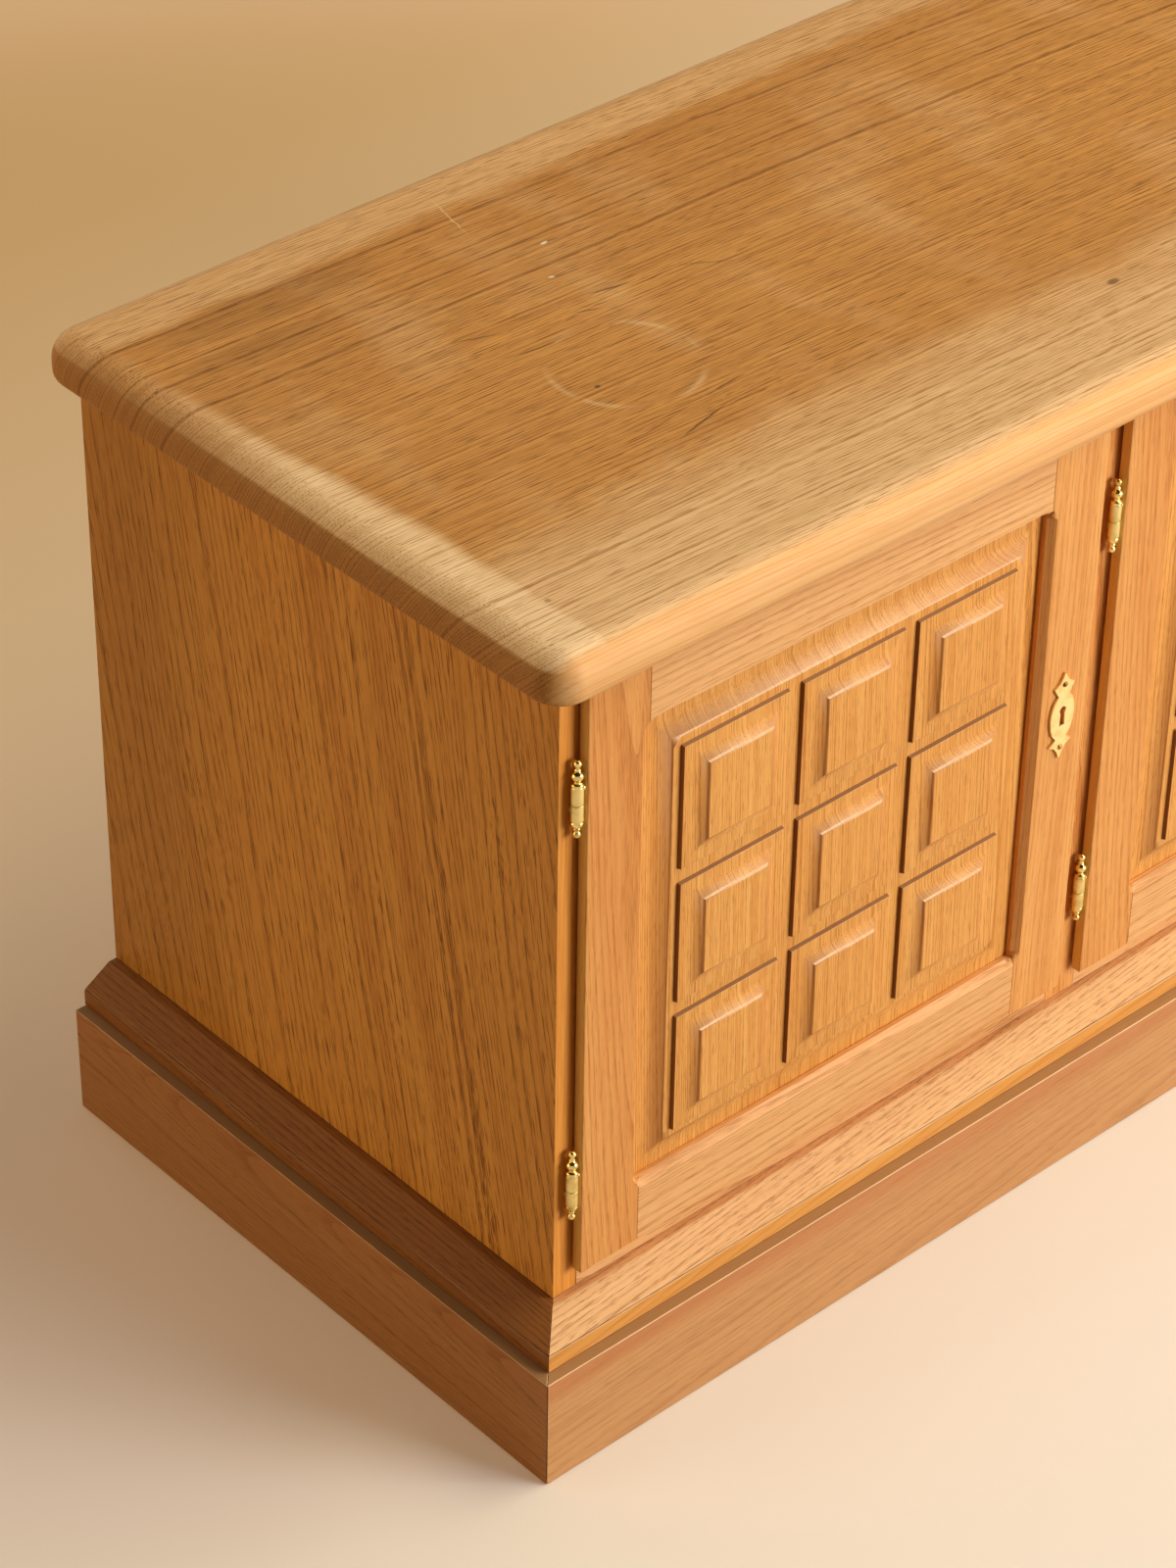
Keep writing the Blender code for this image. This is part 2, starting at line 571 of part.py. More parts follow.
def build_door(number, hand):
    """One door. Hand is 1 where the hinges are on the left, -1 where they are on the right."""
    bay_left = FIRST_BAY + (number - 1) * BAY_PITCH
    if hand == 1:
        edge = bay_left - HINGE_LIP
        hinge_post = dividers[number - 2] if number > 1 else sides[-1]
        lock_post = dividers[number - 1] if number < BAYS else sides[1]
    else:
        edge = bay_left + BAY_WIDTH + HINGE_LIP
        hinge_post = dividers[number - 1] if number < BAYS else sides[1]
        lock_post = dividers[number - 2] if number > 1 else sides[-1]
    axis_x = edge - hand * HINGE_OFFSET
    pivot = bpy.data.objects.new(f"door_{number}_pivot", None)
    pivot.location = (axis_x, AXIS_Y, 0)
    bpy.context.scene.collection.objects.link(pivot)
    label = f"door_{number}"

    # Along the door from its hinge edge, and back from its front face, both as pivot coordinates
    def across(u):
        return hand * (u + HINGE_OFFSET)

    def depth(back):
        return back - AXIS_DEPTH

    def part(piece, u, back, z, surface=None):
        x = tuple(sorted((across(u[0]), across(u[1]))))
        return box(f"{label}_{piece}", x, (depth(back[0]), depth(back[1])), z, surface, pivot)

    # Stiles, with an eased front arris at the outer edge
    hinge_section = arc((DOOR_ARRIS, DOOR_ARRIS), DOOR_ARRIS, 180, 270, ROUND_STEPS)
    hinge_section += [(STILE_WIDTH, 0), (STILE_WIDTH, DOOR_THICKNESS), (0, DOOR_THICKNESS)]
    lock_section = [(DOOR_WIDTH - STILE_WIDTH, 0)]
    lock_section += arc((DOOR_WIDTH - DOOR_ARRIS, DOOR_ARRIS), DOOR_ARRIS, 270, 360, ROUND_STEPS)
    lock_section += [(DOOR_WIDTH, DOOR_THICKNESS), (DOOR_WIDTH - STILE_WIDTH, DOOR_THICKNESS)]
    stiles = []
    for piece, outline in (("hinge_stile", hinge_section), ("lock_stile", lock_section)):
        plan = [(across(u), depth(back), DOOR_BOTTOM) for u, back in outline]
        rise = (0, 0, DOOR_TOP - DOOR_BOTTOM)
        stiles.append(prism(f"{label}_{piece}", plan, rise, OAK_FRAME, pivot))
    hinge_stile, lock_stile = stiles

    # Rails: each joined with a bar that ends in a tenon in both stiles
    rail_u = (OPENING_LEFT + SEAT, OPENING_RIGHT - SEAT)
    bottom_section = [(OPENING_LOW, 0)]
    corner = (DOOR_BOTTOM + DOOR_ARRIS, DOOR_ARRIS)
    bottom_section += arc(corner, DOOR_ARRIS, 270, 180, ROUND_STEPS)
    bottom_section += [(DOOR_BOTTOM, DOOR_THICKNESS), (OPENING_LOW, DOOR_THICKNESS)]
    outline = [(across(rail_u[0]), depth(back), z) for z, back in bottom_section]
    along = (across(rail_u[1]) - across(rail_u[0]), 0, 0)
    bottom_rail = prism(f"{label}_bottom_rail", outline, along, OAK_FRAME, pivot)
    top_rail = part("top_rail", rail_u, (0, DOOR_THICKNESS), (OPENING_HIGH, DOOR_TOP), OAK_FRAME)
    tenon_back = (TONGUE_FRONT, TONGUE_FRONT + TONGUE_THICKNESS)
    mortise_back = (tenon_back[0] - SEAT, tenon_back[1] + SEAT)
    tenon_u = (OPENING_LEFT - TENON_LENGTH, OPENING_RIGHT + TENON_LENGTH)
    mortise_u = (tenon_u[0] - SEAT, tenon_u[1] + SEAT)
    for rail, name, low, high in (
        (top_rail, "top", OPENING_HIGH + TENON_SHOULDER, DOOR_TOP - TENON_SHOULDER),
        (bottom_rail, "bottom", DOOR_BOTTOM + TENON_SHOULDER, OPENING_LOW - TENON_SHOULDER),
    ):
        cut(rail, part(f"{name}_tenons", tenon_u, tenon_back, (low, high)), "UNION")
        mortise = part(f"{name}_mortises", mortise_u, mortise_back, (low - SEAT, high + SEAT))
        for stile in stiles:
            cut(stile, mortise)

    # One rebate runs round both sides and the bottom of the assembled door and leaves its lip
    beyond = DOOR_TOP + CUTTER_MARGIN
    below = DOOR_BOTTOM - CUTTER_MARGIN
    outline = (
        (-CUTTER_MARGIN, beyond),
        (-CUTTER_MARGIN, below),
        (DOOR_WIDTH + CUTTER_MARGIN, below),
        (DOOR_WIDTH + CUTTER_MARGIN, beyond),
        (LOCK_EDGE, beyond),
        (LOCK_EDGE, DOOR_BOTTOM + BOTTOM_REBATE),
        (HINGE_REBATE, DOOR_BOTTOM + BOTTOM_REBATE),
        (HINGE_REBATE, beyond),
    )
    outline = [(across(u), depth(LIP_THICKNESS), z) for u, z in outline]
    along = (0, DOOR_THICKNESS - LIP_THICKNESS + CUTTER_MARGIN, 0)
    rebate = prism(f"{label}_cut_rebate", outline, along, None, pivot)
    # One groove for the panel and one chamfer with rounded corners, both run round the assembled frame
    groove = part(
        "cut_groove",
        (OPENING_LEFT - TONGUE_DEPTH, OPENING_RIGHT + TONGUE_DEPTH),
        mortise_back,
        (OPENING_LOW - TONGUE_DEPTH, OPENING_HIGH + TONGUE_DEPTH),
    )
    half_u = (OPENING_RIGHT - OPENING_LEFT) / 2
    half_z = (OPENING_HIGH - OPENING_LOW) / 2
    mid_u = (OPENING_LEFT + OPENING_RIGHT) / 2
    mid_z = (OPENING_LOW + OPENING_HIGH) / 2
    loops = []
    for back in (-CUTTER_MARGIN, FRAME_CHAMFER + CUTTER_MARGIN):
        wider = FRAME_CHAMFER - back
        outline = rounded_rectangle(half_u + wider, half_z + wider, CHAMFER_CORNER_RADIUS + wider)
        loops.append([(across(mid_u + u), depth(back), mid_z + z) for u, z in outline])
    chamfer = bridge(f"{label}_cut_chamfer", *loops, None, pivot)
    for member in (hinge_stile, lock_stile, bottom_rail):
        cut(member, rebate)
    for member in (hinge_stile, lock_stile, top_rail, bottom_rail):
        cut(member, groove)
        cut(member, chamfer)
    panel_back = TONGUE_FRONT + TONGUE_THICKNESS / 2
    carved_panel(f"{label}_panel", (across(mid_u), depth(panel_back), mid_z), OAK_PANEL, pivot)

    # Hinges: a door half and a fixed half at each height, turned, with a screw stem at right angles
    half_seam = SEAT / 2
    bore_radius = PIN_RADIUS + SEAT
    bead_centre = KNUCKLE_LENGTH + COLLAR_LENGTH + COLLAR_NECK + BEAD_HEIGHT / 2
    ball_centre = bead_centre + BEAD_HEIGHT / 2 + TOP_NECK + BALL_RADIUS
    upper = [
        (0, PIN_LENGTH + SEAT),
        (bore_radius, PIN_LENGTH + SEAT),
        (bore_radius, half_seam),
        (KNUCKLE_RADIUS, half_seam),
        (KNUCKLE_RADIUS, KNUCKLE_LENGTH + COLLAR_FLAT),
        (NECK_RADIUS, KNUCKLE_LENGTH + COLLAR_LENGTH),
    ]
    upper += bead(bead_centre, KNUCKLE_RADIUS, BEAD_HEIGHT / 2)
    upper += bead(ball_centre, BALL_RADIUS, BALL_RADIUS, closed=True)
    foot_ball = -KNUCKLE_LENGTH - CUP_LENGTH - FOOT_NECK - BALL_RADIUS
    lower = [
        (0, PIN_LENGTH),
        (PIN_RADIUS, PIN_LENGTH),
        (PIN_RADIUS, -half_seam),
        (KNUCKLE_RADIUS, -half_seam),
        (KNUCKLE_RADIUS, -KNUCKLE_LENGTH - COLLAR_FLAT),
        (NECK_RADIUS, -KNUCKLE_LENGTH - CUP_LENGTH),
    ]
    lower += bead(foot_ball, BALL_RADIUS, -BALL_RADIUS, closed=True)
    for height, seam in SEAMS:
        moving = turned(f"{label}_hinge_{height}_door_half", upper, (0, 0, seam), BRASS, pivot)
        fixed = turned(f"{label}_hinge_{height}_fixed_half", lower, (axis_x, AXIS_Y, seam), BRASS)
        door_stem = (0, 0, seam + DOOR_STEM_HEIGHT)
        span = (hand * STEM_START, hand * (HINGE_OFFSET + STEM_DEPTH))
        cut(moving, rod(f"{label}_{height}_door_stem", door_stem, "x", STEM_RADIUS, span, pivot), "UNION")
        bore_span = (hand * (HINGE_OFFSET - CUTTER_MARGIN), hand * (HINGE_OFFSET + STEM_DEPTH + SEAT))
        bore = rod(f"{label}_{height}_cut_door_bore", door_stem, "x", STEM_RADIUS + SEAT, bore_span, pivot)
        cut(hinge_stile, bore)
        fixed_stem = (axis_x, AXIS_Y, seam - FIXED_STEM_HEIGHT)
        to_carcass = CARCASS_FRONT - AXIS_Y
        span = (STEM_START, to_carcass + STEM_DEPTH)
        cut(fixed, rod(f"{label}_{height}_fixed_stem", fixed_stem, "y", STEM_RADIUS, span), "UNION")
        bore_span = (to_carcass - CUTTER_MARGIN, to_carcass + STEM_DEPTH + SEAT)
        bore = rod(f"{label}_{height}_cut_fixed_bore", fixed_stem, "y", STEM_RADIUS + SEAT, bore_span)
        cut(hinge_post, bore)

    # Keyhole through the plate, the stile and the front of the lock case
    key_top = KEY_HEIGHT / 2 - KEY_RADIUS
    key = arc((0, key_top), KEY_RADIUS, 90, 90 - KEY_SWEEP, KEY_STEPS)
    key += [(KEY_SLOT_TOP / 2, key_top - KEY_RADIUS), (KEY_SLOT_BOTTOM / 2, -KEY_HEIGHT / 2)]
    key += [(-x, z) for x, z in key[:0:-1]]
    key_front = -PLATE_THICKNESS - SEAT - CUTTER_MARGIN
    outline = [(across(LOCK_U + x), depth(key_front), LOCK_Z + z) for x, z in key]
    keyhole = prism(f"{label}_cut_keyhole", outline, (0, BOLT_DEPTH - key_front, 0), None, pivot)
    plate = mirrored([(PLATE_HALF_HEIGHT * x, PLATE_HALF_HEIGHT * z) for x, z in PLATE_OUTLINE])
    outline = [(across(LOCK_U + x), depth(-SEAT), LOCK_Z + z) for x, z in plate]
    escutcheon = prism(f"{label}_escutcheon", outline, (0, -PLATE_THICKNESS, 0), BRASS, pivot)

    # Lock case in the back of the lock stile, with an open channel for the bolt
    case_z = (LOCK_Z - LOCK_CASE_HEIGHT / 2, LOCK_Z + LOCK_CASE_HEIGHT / 2)
    case_u = (LOCK_EDGE - LOCK_CASE_WIDTH, LOCK_EDGE)
    recess = part(
        "cut_lock_recess",
        (case_u[0] - SEAT, LOCK_EDGE + CUTTER_MARGIN),
        (CASE_FRONT - SEAT, DOOR_THICKNESS + CUTTER_MARGIN),
        (case_z[0] - SEAT, case_z[1] + SEAT),
    )
    case = part("lock_case", case_u, (CASE_FRONT, DOOR_THICKNESS), case_z, STEEL)
    bolt_end = LOCK_EDGE - BOLT_SETBACK
    bolt_back = (BOLT_DEPTH - BOLT_THICKNESS / 2, BOLT_DEPTH + BOLT_THICKNESS / 2)
    bolt_z = (LOCK_Z - BOLT_HEIGHT / 2, LOCK_Z + BOLT_HEIGHT / 2)
    channel = part(
        "cut_channel",
        (bolt_end - BOLT_LENGTH - BOLT_GAP, LOCK_EDGE + CUTTER_MARGIN),
        (bolt_back[0] - BOLT_GAP, bolt_back[1] + BOLT_GAP),
        (bolt_z[0] - BOLT_GAP, bolt_z[1] + BOLT_GAP),
    )
    cut(case, channel)
    for pierced in (escutcheon, lock_stile, case):
        cut(pierced, keyhole)
    cut(lock_stile, recess)
    slide = bpy.data.objects.new(f"{label}_bolt_slide", None)
    slide.location = (across(bolt_end), depth(BOLT_DEPTH), LOCK_Z)
    slide.parent = pivot
    bpy.context.scene.collection.objects.link(slide)
    bolt_x = tuple(sorted((0, -hand * BOLT_LENGTH)))
    half_thick = BOLT_THICKNESS / 2
    half_high = BOLT_HEIGHT / 2
    box(f"{label}_lock_bolt", bolt_x, (-half_thick, half_thick), (-half_high, half_high), STEEL, slide)

    # Strike plate let into the upright beside the lock, over a mortise for the bolt
    face = edge + hand * (LOCK_EDGE + DOOR_SIDE_GAP)
    bolt_y = DOOR_FRONT + BOLT_DEPTH

    def let_in(name, reach, half_y, half_z, surface=None):
        x = tuple(sorted((face + hand * reach[0], face + hand * reach[1])))
        return box(name, x, (bolt_y - half_y, bolt_y + half_y), (LOCK_Z - half_z, LOCK_Z + half_z), surface)

    strike_y = STRIKE_WIDTH / 2
    strike_z = STRIKE_HEIGHT / 2
    slot_y = half_thick + STRIKE_SLOT_GAP
    slot_z = half_high + STRIKE_SLOT_GAP
    strike = let_in(f"strike_plate_{number}", (0, STRIKE_THICKNESS), strike_y, strike_z, BRASS)
    seat = (-CUTTER_MARGIN, STRIKE_THICKNESS + SEAT)
    cut(lock_post, let_in(f"{label}_cut_strike", seat, strike_y + SEAT, strike_z + SEAT))
    slot = let_in(f"{label}_cut_strike_slot", (-CUTTER_MARGIN, STRIKE_MORTISE), slot_y, slot_z)
    cut(strike, slot)
    cut(lock_post, slot)


build_door(1, 1)
build_door(2, 1)
build_door(3, -1)
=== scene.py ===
import json
import math

import bmesh
import bpy
from mathutils import Matrix, Vector

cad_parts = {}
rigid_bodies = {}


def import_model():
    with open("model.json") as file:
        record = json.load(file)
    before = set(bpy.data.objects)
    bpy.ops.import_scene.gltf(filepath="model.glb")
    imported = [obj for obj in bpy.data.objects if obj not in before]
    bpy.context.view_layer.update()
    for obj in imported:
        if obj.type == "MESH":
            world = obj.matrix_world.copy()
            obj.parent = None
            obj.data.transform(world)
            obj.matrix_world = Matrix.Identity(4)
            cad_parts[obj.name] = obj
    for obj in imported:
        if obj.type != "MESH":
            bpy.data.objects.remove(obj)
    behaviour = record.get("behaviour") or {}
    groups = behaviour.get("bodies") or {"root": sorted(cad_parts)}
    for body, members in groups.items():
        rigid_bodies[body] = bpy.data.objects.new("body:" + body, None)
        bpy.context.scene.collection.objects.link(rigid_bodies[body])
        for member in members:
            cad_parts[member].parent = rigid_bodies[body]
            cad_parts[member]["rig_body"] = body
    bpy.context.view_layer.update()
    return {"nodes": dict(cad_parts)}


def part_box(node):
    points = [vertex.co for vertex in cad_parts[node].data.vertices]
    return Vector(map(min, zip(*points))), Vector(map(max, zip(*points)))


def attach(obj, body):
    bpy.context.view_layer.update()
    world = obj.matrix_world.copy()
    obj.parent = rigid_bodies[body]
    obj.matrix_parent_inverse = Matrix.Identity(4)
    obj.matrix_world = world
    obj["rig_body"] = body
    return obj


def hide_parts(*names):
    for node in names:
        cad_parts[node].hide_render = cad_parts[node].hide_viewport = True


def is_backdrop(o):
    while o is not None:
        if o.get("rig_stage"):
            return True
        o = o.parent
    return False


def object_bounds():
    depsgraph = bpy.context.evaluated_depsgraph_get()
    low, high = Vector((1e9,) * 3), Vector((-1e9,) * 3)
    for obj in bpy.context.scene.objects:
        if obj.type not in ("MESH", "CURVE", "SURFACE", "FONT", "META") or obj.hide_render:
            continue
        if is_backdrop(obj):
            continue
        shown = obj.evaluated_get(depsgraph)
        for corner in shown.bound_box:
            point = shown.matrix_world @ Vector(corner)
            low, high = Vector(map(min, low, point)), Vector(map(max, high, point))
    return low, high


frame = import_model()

# Plinth: four solid oak boards on edge, mitred at the front corners, with glue blocks behind.
# The boards are planed and the arrises taken off with sandpaper, and the foot of the front is scuffed.


def linear(code):
    """A colour written as sRGB hex, as the shader wants it."""
    parts = [int(code[i:i + 2], 16) / 255 for i in (1, 3, 5)]
    return [p / 12.92 if p <= 0.04045 else ((p + 0.055) / 1.055) ** 2.4 for p in parts] + [1.0]


def add(tree, kind, inputs=None, **settings):
    """One shader node with its settings. An input is a value, or the output that feeds it."""
    made = tree.nodes.new("ShaderNode" + kind)
    for key, value in settings.items():
        setattr(made, key, value)
    for key, value in (inputs or {}).items():
        if isinstance(value, bpy.types.NodeSocket):
            tree.links.new(value, made.inputs[key])
        else:
            made.inputs[key].default_value = value
    return made


GRAIN = {"x": (0, 0, 0), "y": (0, 0, -90), "z": (0, 90, 0)}
BARE_WOOD = "#fbe6c6"


def oak(
    piece, grain, heart, tones, slant=(0, 0), ring=3.2, figure=9, lines=0.5, pore=(24, 0.9), open_pores=0.5,
    rubbed=0.0, satin=0.45, soaked=0.6,
):
    """Oak, planed and thinly varnished: year rings round the tree's heart, which lies so many millimetres
    off the board, pores crowded at the start of each year as short dark dashes, and slow changes of tone.
    The ring's width, the figure's sway and the pore's length and width are in millimetres too."""
    material = bpy.data.materials.new(piece.name + ".varnished_oak")
    material.use_nodes = True
    tree = material.node_tree
    shader = tree.nodes["Principled BSDF"]
    shader.inputs["Specular IOR Level"].default_value = 0.35
    corners = [Vector(corner) for corner in piece.bound_box]
    middle = (corners[0] + corners[6]) / 2
    turn = [math.radians(a + b) for a, b in zip(GRAIN[grain], (0, *slant))]
    place = add(tree, "TexCoord").outputs["Object"]
    off_heart = add(tree, "VectorMath", {0: place, 1: middle + Vector(heart) / 1000}, operation="SUBTRACT")
    log = add(tree, "Mapping", {"Vector": off_heart.outputs[0], "Rotation": turn}).outputs[0]
    # The trunk isn't quite straight: bends 450 mm long and 70 mm wide push the rings about
    bends = add(tree, "VectorMath", {0: log, 1: (2.2, 14, 14)}, operation="MULTIPLY").outputs[0]
    bent = add(tree, "TexNoise", {"Vector": bends, "Scale": 1, "Detail": 2}).outputs["Color"]
    sway = (0, figure / 1000, figure / 1000)
    wavy = add(tree, "VectorMath", {0: bent, 1: sway, 2: log}, operation="MULTIPLY_ADD").outputs[0]
    spoke = add(tree, "VectorMath", {0: wavy, 1: (0, 1, 1)}, operation="MULTIPLY").outputs[0]
    radius = add(tree, "VectorMath", {0: spoke}, operation="LENGTH").outputs["Value"]
    # Years of uneven width, each with a sharp start that is full of pores
    uneven = {"W": radius, "Scale": 200 / ring, "Detail": 1}
    uneven = add(tree, "TexNoise", uneven, noise_dimensions="1D").outputs[0]
    uneven = add(tree, "Math", {0: uneven, 1: 4.0}, operation="MULTIPLY").outputs[0]
    turns = add(tree, "Math", {0: radius, 1: 1000 / ring, 2: uneven}, operation="MULTIPLY_ADD").outputs[0]
    year = add(tree, "Math", {0: turns}, operation="FRACT").outputs[0]
    early = {"Value": year, "From Max": 0.5, "To Min": 1.0, "To Max": 0.0}
    early = add(tree, "MapRange", early, interpolation_type="SMOOTHSTEP").outputs[0]
    # About every fourth year is a good one
    good = add(tree, "TexNoise", {"W": turns, "Scale": 0.23, "Detail": 1}, noise_dimensions="1D").outputs[0]
    # Fibres 80 mm long and 2 mm wide, and pores: real ones are a third as wide and wouldn't show
    fibre_at = add(tree, "VectorMath", {0: wavy, 1: (12, 480, 480)}, operation="MULTIPLY").outputs[0]
    fibres = add(tree, "TexNoise", {"Vector": fibre_at, "Scale": 1, "Detail": 4, "Roughness": 0.6}).outputs[0]
    pore_scale = (1000 / pore[0], 1000 / pore[1], 1000 / pore[1])
    pore_at = add(tree, "VectorMath", {0: wavy, 1: pore_scale}, operation="MULTIPLY").outputs[0]
    pits = add(tree, "TexNoise", {"Vector": pore_at, "Scale": 1, "Detail": 1}).outputs[0]
    crowd = add(tree, "Math", {0: early, 1: 0.15, 2: pits}, operation="MULTIPLY_ADD").outputs[0]
    dashes = {"Value": crowd, "From Min": 0.60, "From Max": 0.70}
    dashes = add(tree, "MapRange", dashes, interpolation_type="SMOOTHSTEP").outputs[0]
    # Slow changes of tone, 600 mm long and 120 mm wide
    tone_at = add(tree, "VectorMath", {0: log, 1: (1.6, 8, 8)}, operation="MULTIPLY").outputs[0]
    slow = add(tree, "TexNoise", {"Vector": tone_at, "Scale": 1, "Detail": 2}).outputs[0]
    # Colour: early wood and fibres darken it, then the pores, and rubbed arrises are pale
    shade = add(tree, "Math", {0: early, 1: lines, 2: -lines / 4}, operation="MULTIPLY_ADD").outputs[0]
    for part, share in ((fibres, 1.1), (good, 0.7), (slow, 0.7)):
        shade = add(tree, "Math", {0: part, 1: share, 2: shade}, operation="MULTIPLY_ADD").outputs[0]
    shade = add(tree, "MapRange", {"Value": shade, "From Min": 0.85, "From Max": 1.65}).outputs[0]
    light, dark, deep = [linear(tone) for tone in tones]
    body = add(tree, "Mix", {0: shade, 6: light, 7: dark}, data_type="RGBA").outputs[2]
    depth = add(tree, "Math", {0: dashes, 1: open_pores}, operation="MULTIPLY").outputs[0]
    colour = add(tree, "Mix", {0: depth, 6: body, 7: deep}, data_type="RGBA").outputs[2]
    normal = add(tree, "TexCoord").outputs["Normal"]
    facing = add(tree, "VectorMath", {0: normal}, operation="ABSOLUTE")
    sides = add(tree, "SeparateXYZ", {0: facing.outputs[0]}).outputs
    # End grain has drunk more varnish and is darker
    ends = {"Value": sides["xyz".index(grain)], "From Min": 0.55, "From Max": 0.98, "To Max": soaked}
    ends = add(tree, "MapRange", ends, interpolation_type="SMOOTHSTEP").outputs[0]
    colour = add(tree, "Mix", {0: ends, 6: colour, 7: deep}, data_type="RGBA").outputs[2]
    if rubbed:
        # Bare wood along the upper arrises, where knocks 20 mm apart have taken the varnish off
        flat = add(tree, "Math", {0: sides[1], 1: sides[2]}, operation="MAXIMUM").outputs[0]
        flat = add(tree, "Math", {0: flat, 1: sides[0]}, operation="MAXIMUM").outputs[0]
        knocks = add(tree, "TexNoise", {"Vector": place, "Scale": 45, "Detail": 3}).outputs[0]
        flat = add(tree, "Math", {0: knocks, 1: -0.16, 2: flat}, operation="MULTIPLY_ADD").outputs[0]
        bare = {"Value": flat, "From Min": 0.88, "From Max": 0.74, "To Max": rubbed}
        bare = add(tree, "MapRange", bare).outputs[0]
        upward = add(tree, "SeparateXYZ", {0: normal}).outputs[2]
        upward = add(tree, "MapRange", {"Value": upward, "From Min": 0.15, "From Max": 0.35}).outputs[0]
        bare = add(tree, "Math", {0: bare, 1: upward}, operation="MULTIPLY").outputs[0]
        colour = add(tree, "Mix", {0: bare, 6: colour, 7: linear(BARE_WOOD)}, data_type="RGBA").outputs[2]
    tree.links.new(colour, shader.inputs["Base Color"])
    # Pores break the gloss and are open to the touch
    rough = add(tree, "Math", {0: fibres, 1: 0.22, 2: satin - 0.11}, operation="MULTIPLY_ADD").outputs[0]
    rough = add(tree, "Math", {0: dashes, 1: 0.18, 2: rough}, operation="MULTIPLY_ADD").outputs[0]
    tree.links.new(rough, shader.inputs["Roughness"])
    relief = add(tree, "Math", {0: dashes, 1: -open_pores, 2: fibres}, operation="MULTIPLY_ADD").outputs[0]
    bump = add(tree, "Bump", {"Strength": 0.25, "Distance": 0.0003, "Height": relief})
    tree.links.new(bump.outputs[0], shader.inputs["Normal"])
    piece.data.materials.clear()
    piece.data.materials.append(material)
    return tree, shade, depth


def wash(tree, where, tone):
    """Lays another colour over what the surface has, as strongly as the mask says."""
    shader = tree.nodes["Principled BSDF"]
    under = shader.inputs["Base Color"].links[0].from_socket
    over = tone if isinstance(tone, bpy.types.NodeSocket) else linear(tone)
    mixed = add(tree, "Mix", {0: where, 6: under, 7: over}, data_type="RGBA").outputs[2]
    tree.links.new(mixed, shader.inputs["Base Color"])


def alone(piece):
    """Selects this piece and nothing else."""
    bpy.ops.object.select_all(action="DESELECT")
    piece.select_set(True)
    bpy.context.view_layer.objects.active = piece


def pick(kind, wanted):
    """In edit mode, selects the faces or edges that a test picks."""
    bpy.ops.mesh.select_mode(type=kind)
    bpy.ops.mesh.select_all(action="DESELECT")
    edit = bmesh.from_edit_mesh(bpy.context.object.data)
    edit.normal_update()
    for item in (edit.faces if kind == "FACE" else edit.edges):
        item.select_set(wanted(item))
    edit.select_flush_mode()
    bmesh.update_edit_mesh(bpy.context.object.data)


def clean_shading(piece):
    """Round parts smooth, flat parts flat."""
    alone(piece)
    bpy.ops.object.shade_smooth_by_angle(angle=math.radians(50))
    bpy.ops.object.modifier_add(type="WEIGHTED_NORMAL")
    piece.modifiers[-1].keep_sharp = True
    bpy.ops.object.modifier_apply(modifier=piece.modifiers[-1].name)


MERGED = 0.000002
SHARP = math.radians(25)


def eased(node, arris=0.7, kind="oak", shortest=12):
    """A piece in place of its CAD node, with its arrises rounded over by so many millimetres,
    but for those that are shorter than so many."""
    piece = bpy.data.objects.new(f"{node}.{kind}", frame["nodes"][node].data.copy())
    bpy.context.scene.collection.objects.link(piece)
    piece.data.materials.clear()
    alone(piece)
    bpy.ops.mesh.customdata_custom_splitnormals_clear()
    bpy.ops.object.mode_set(mode="EDIT")
    bpy.ops.mesh.select_all(action="SELECT")
    bpy.ops.mesh.remove_doubles(threshold=MERGED)
    bpy.ops.mesh.dissolve_limited(angle_limit=math.radians(0.5))

    def outer_arris(edge):
        if len(edge.link_faces) != 2 or edge.calc_length() < shortest / 1000:
            return False
        if edge.calc_face_angle_signed() < SHARP:
            return False
        narrowest = min(face.calc_area() / edge.calc_length() for face in edge.link_faces)
        return narrowest > 2.5 * arris / 1000

    pick("EDGE", outer_arris)
    bpy.ops.mesh.bevel(offset=arris / 1000, segments=3, profile=0.5, affect="EDGES", clamp_overlap=True)
    bpy.ops.object.mode_set(mode="OBJECT")
    clean_shading(piece)
    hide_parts(node)
    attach(piece, frame["nodes"][node]["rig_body"])
    return piece


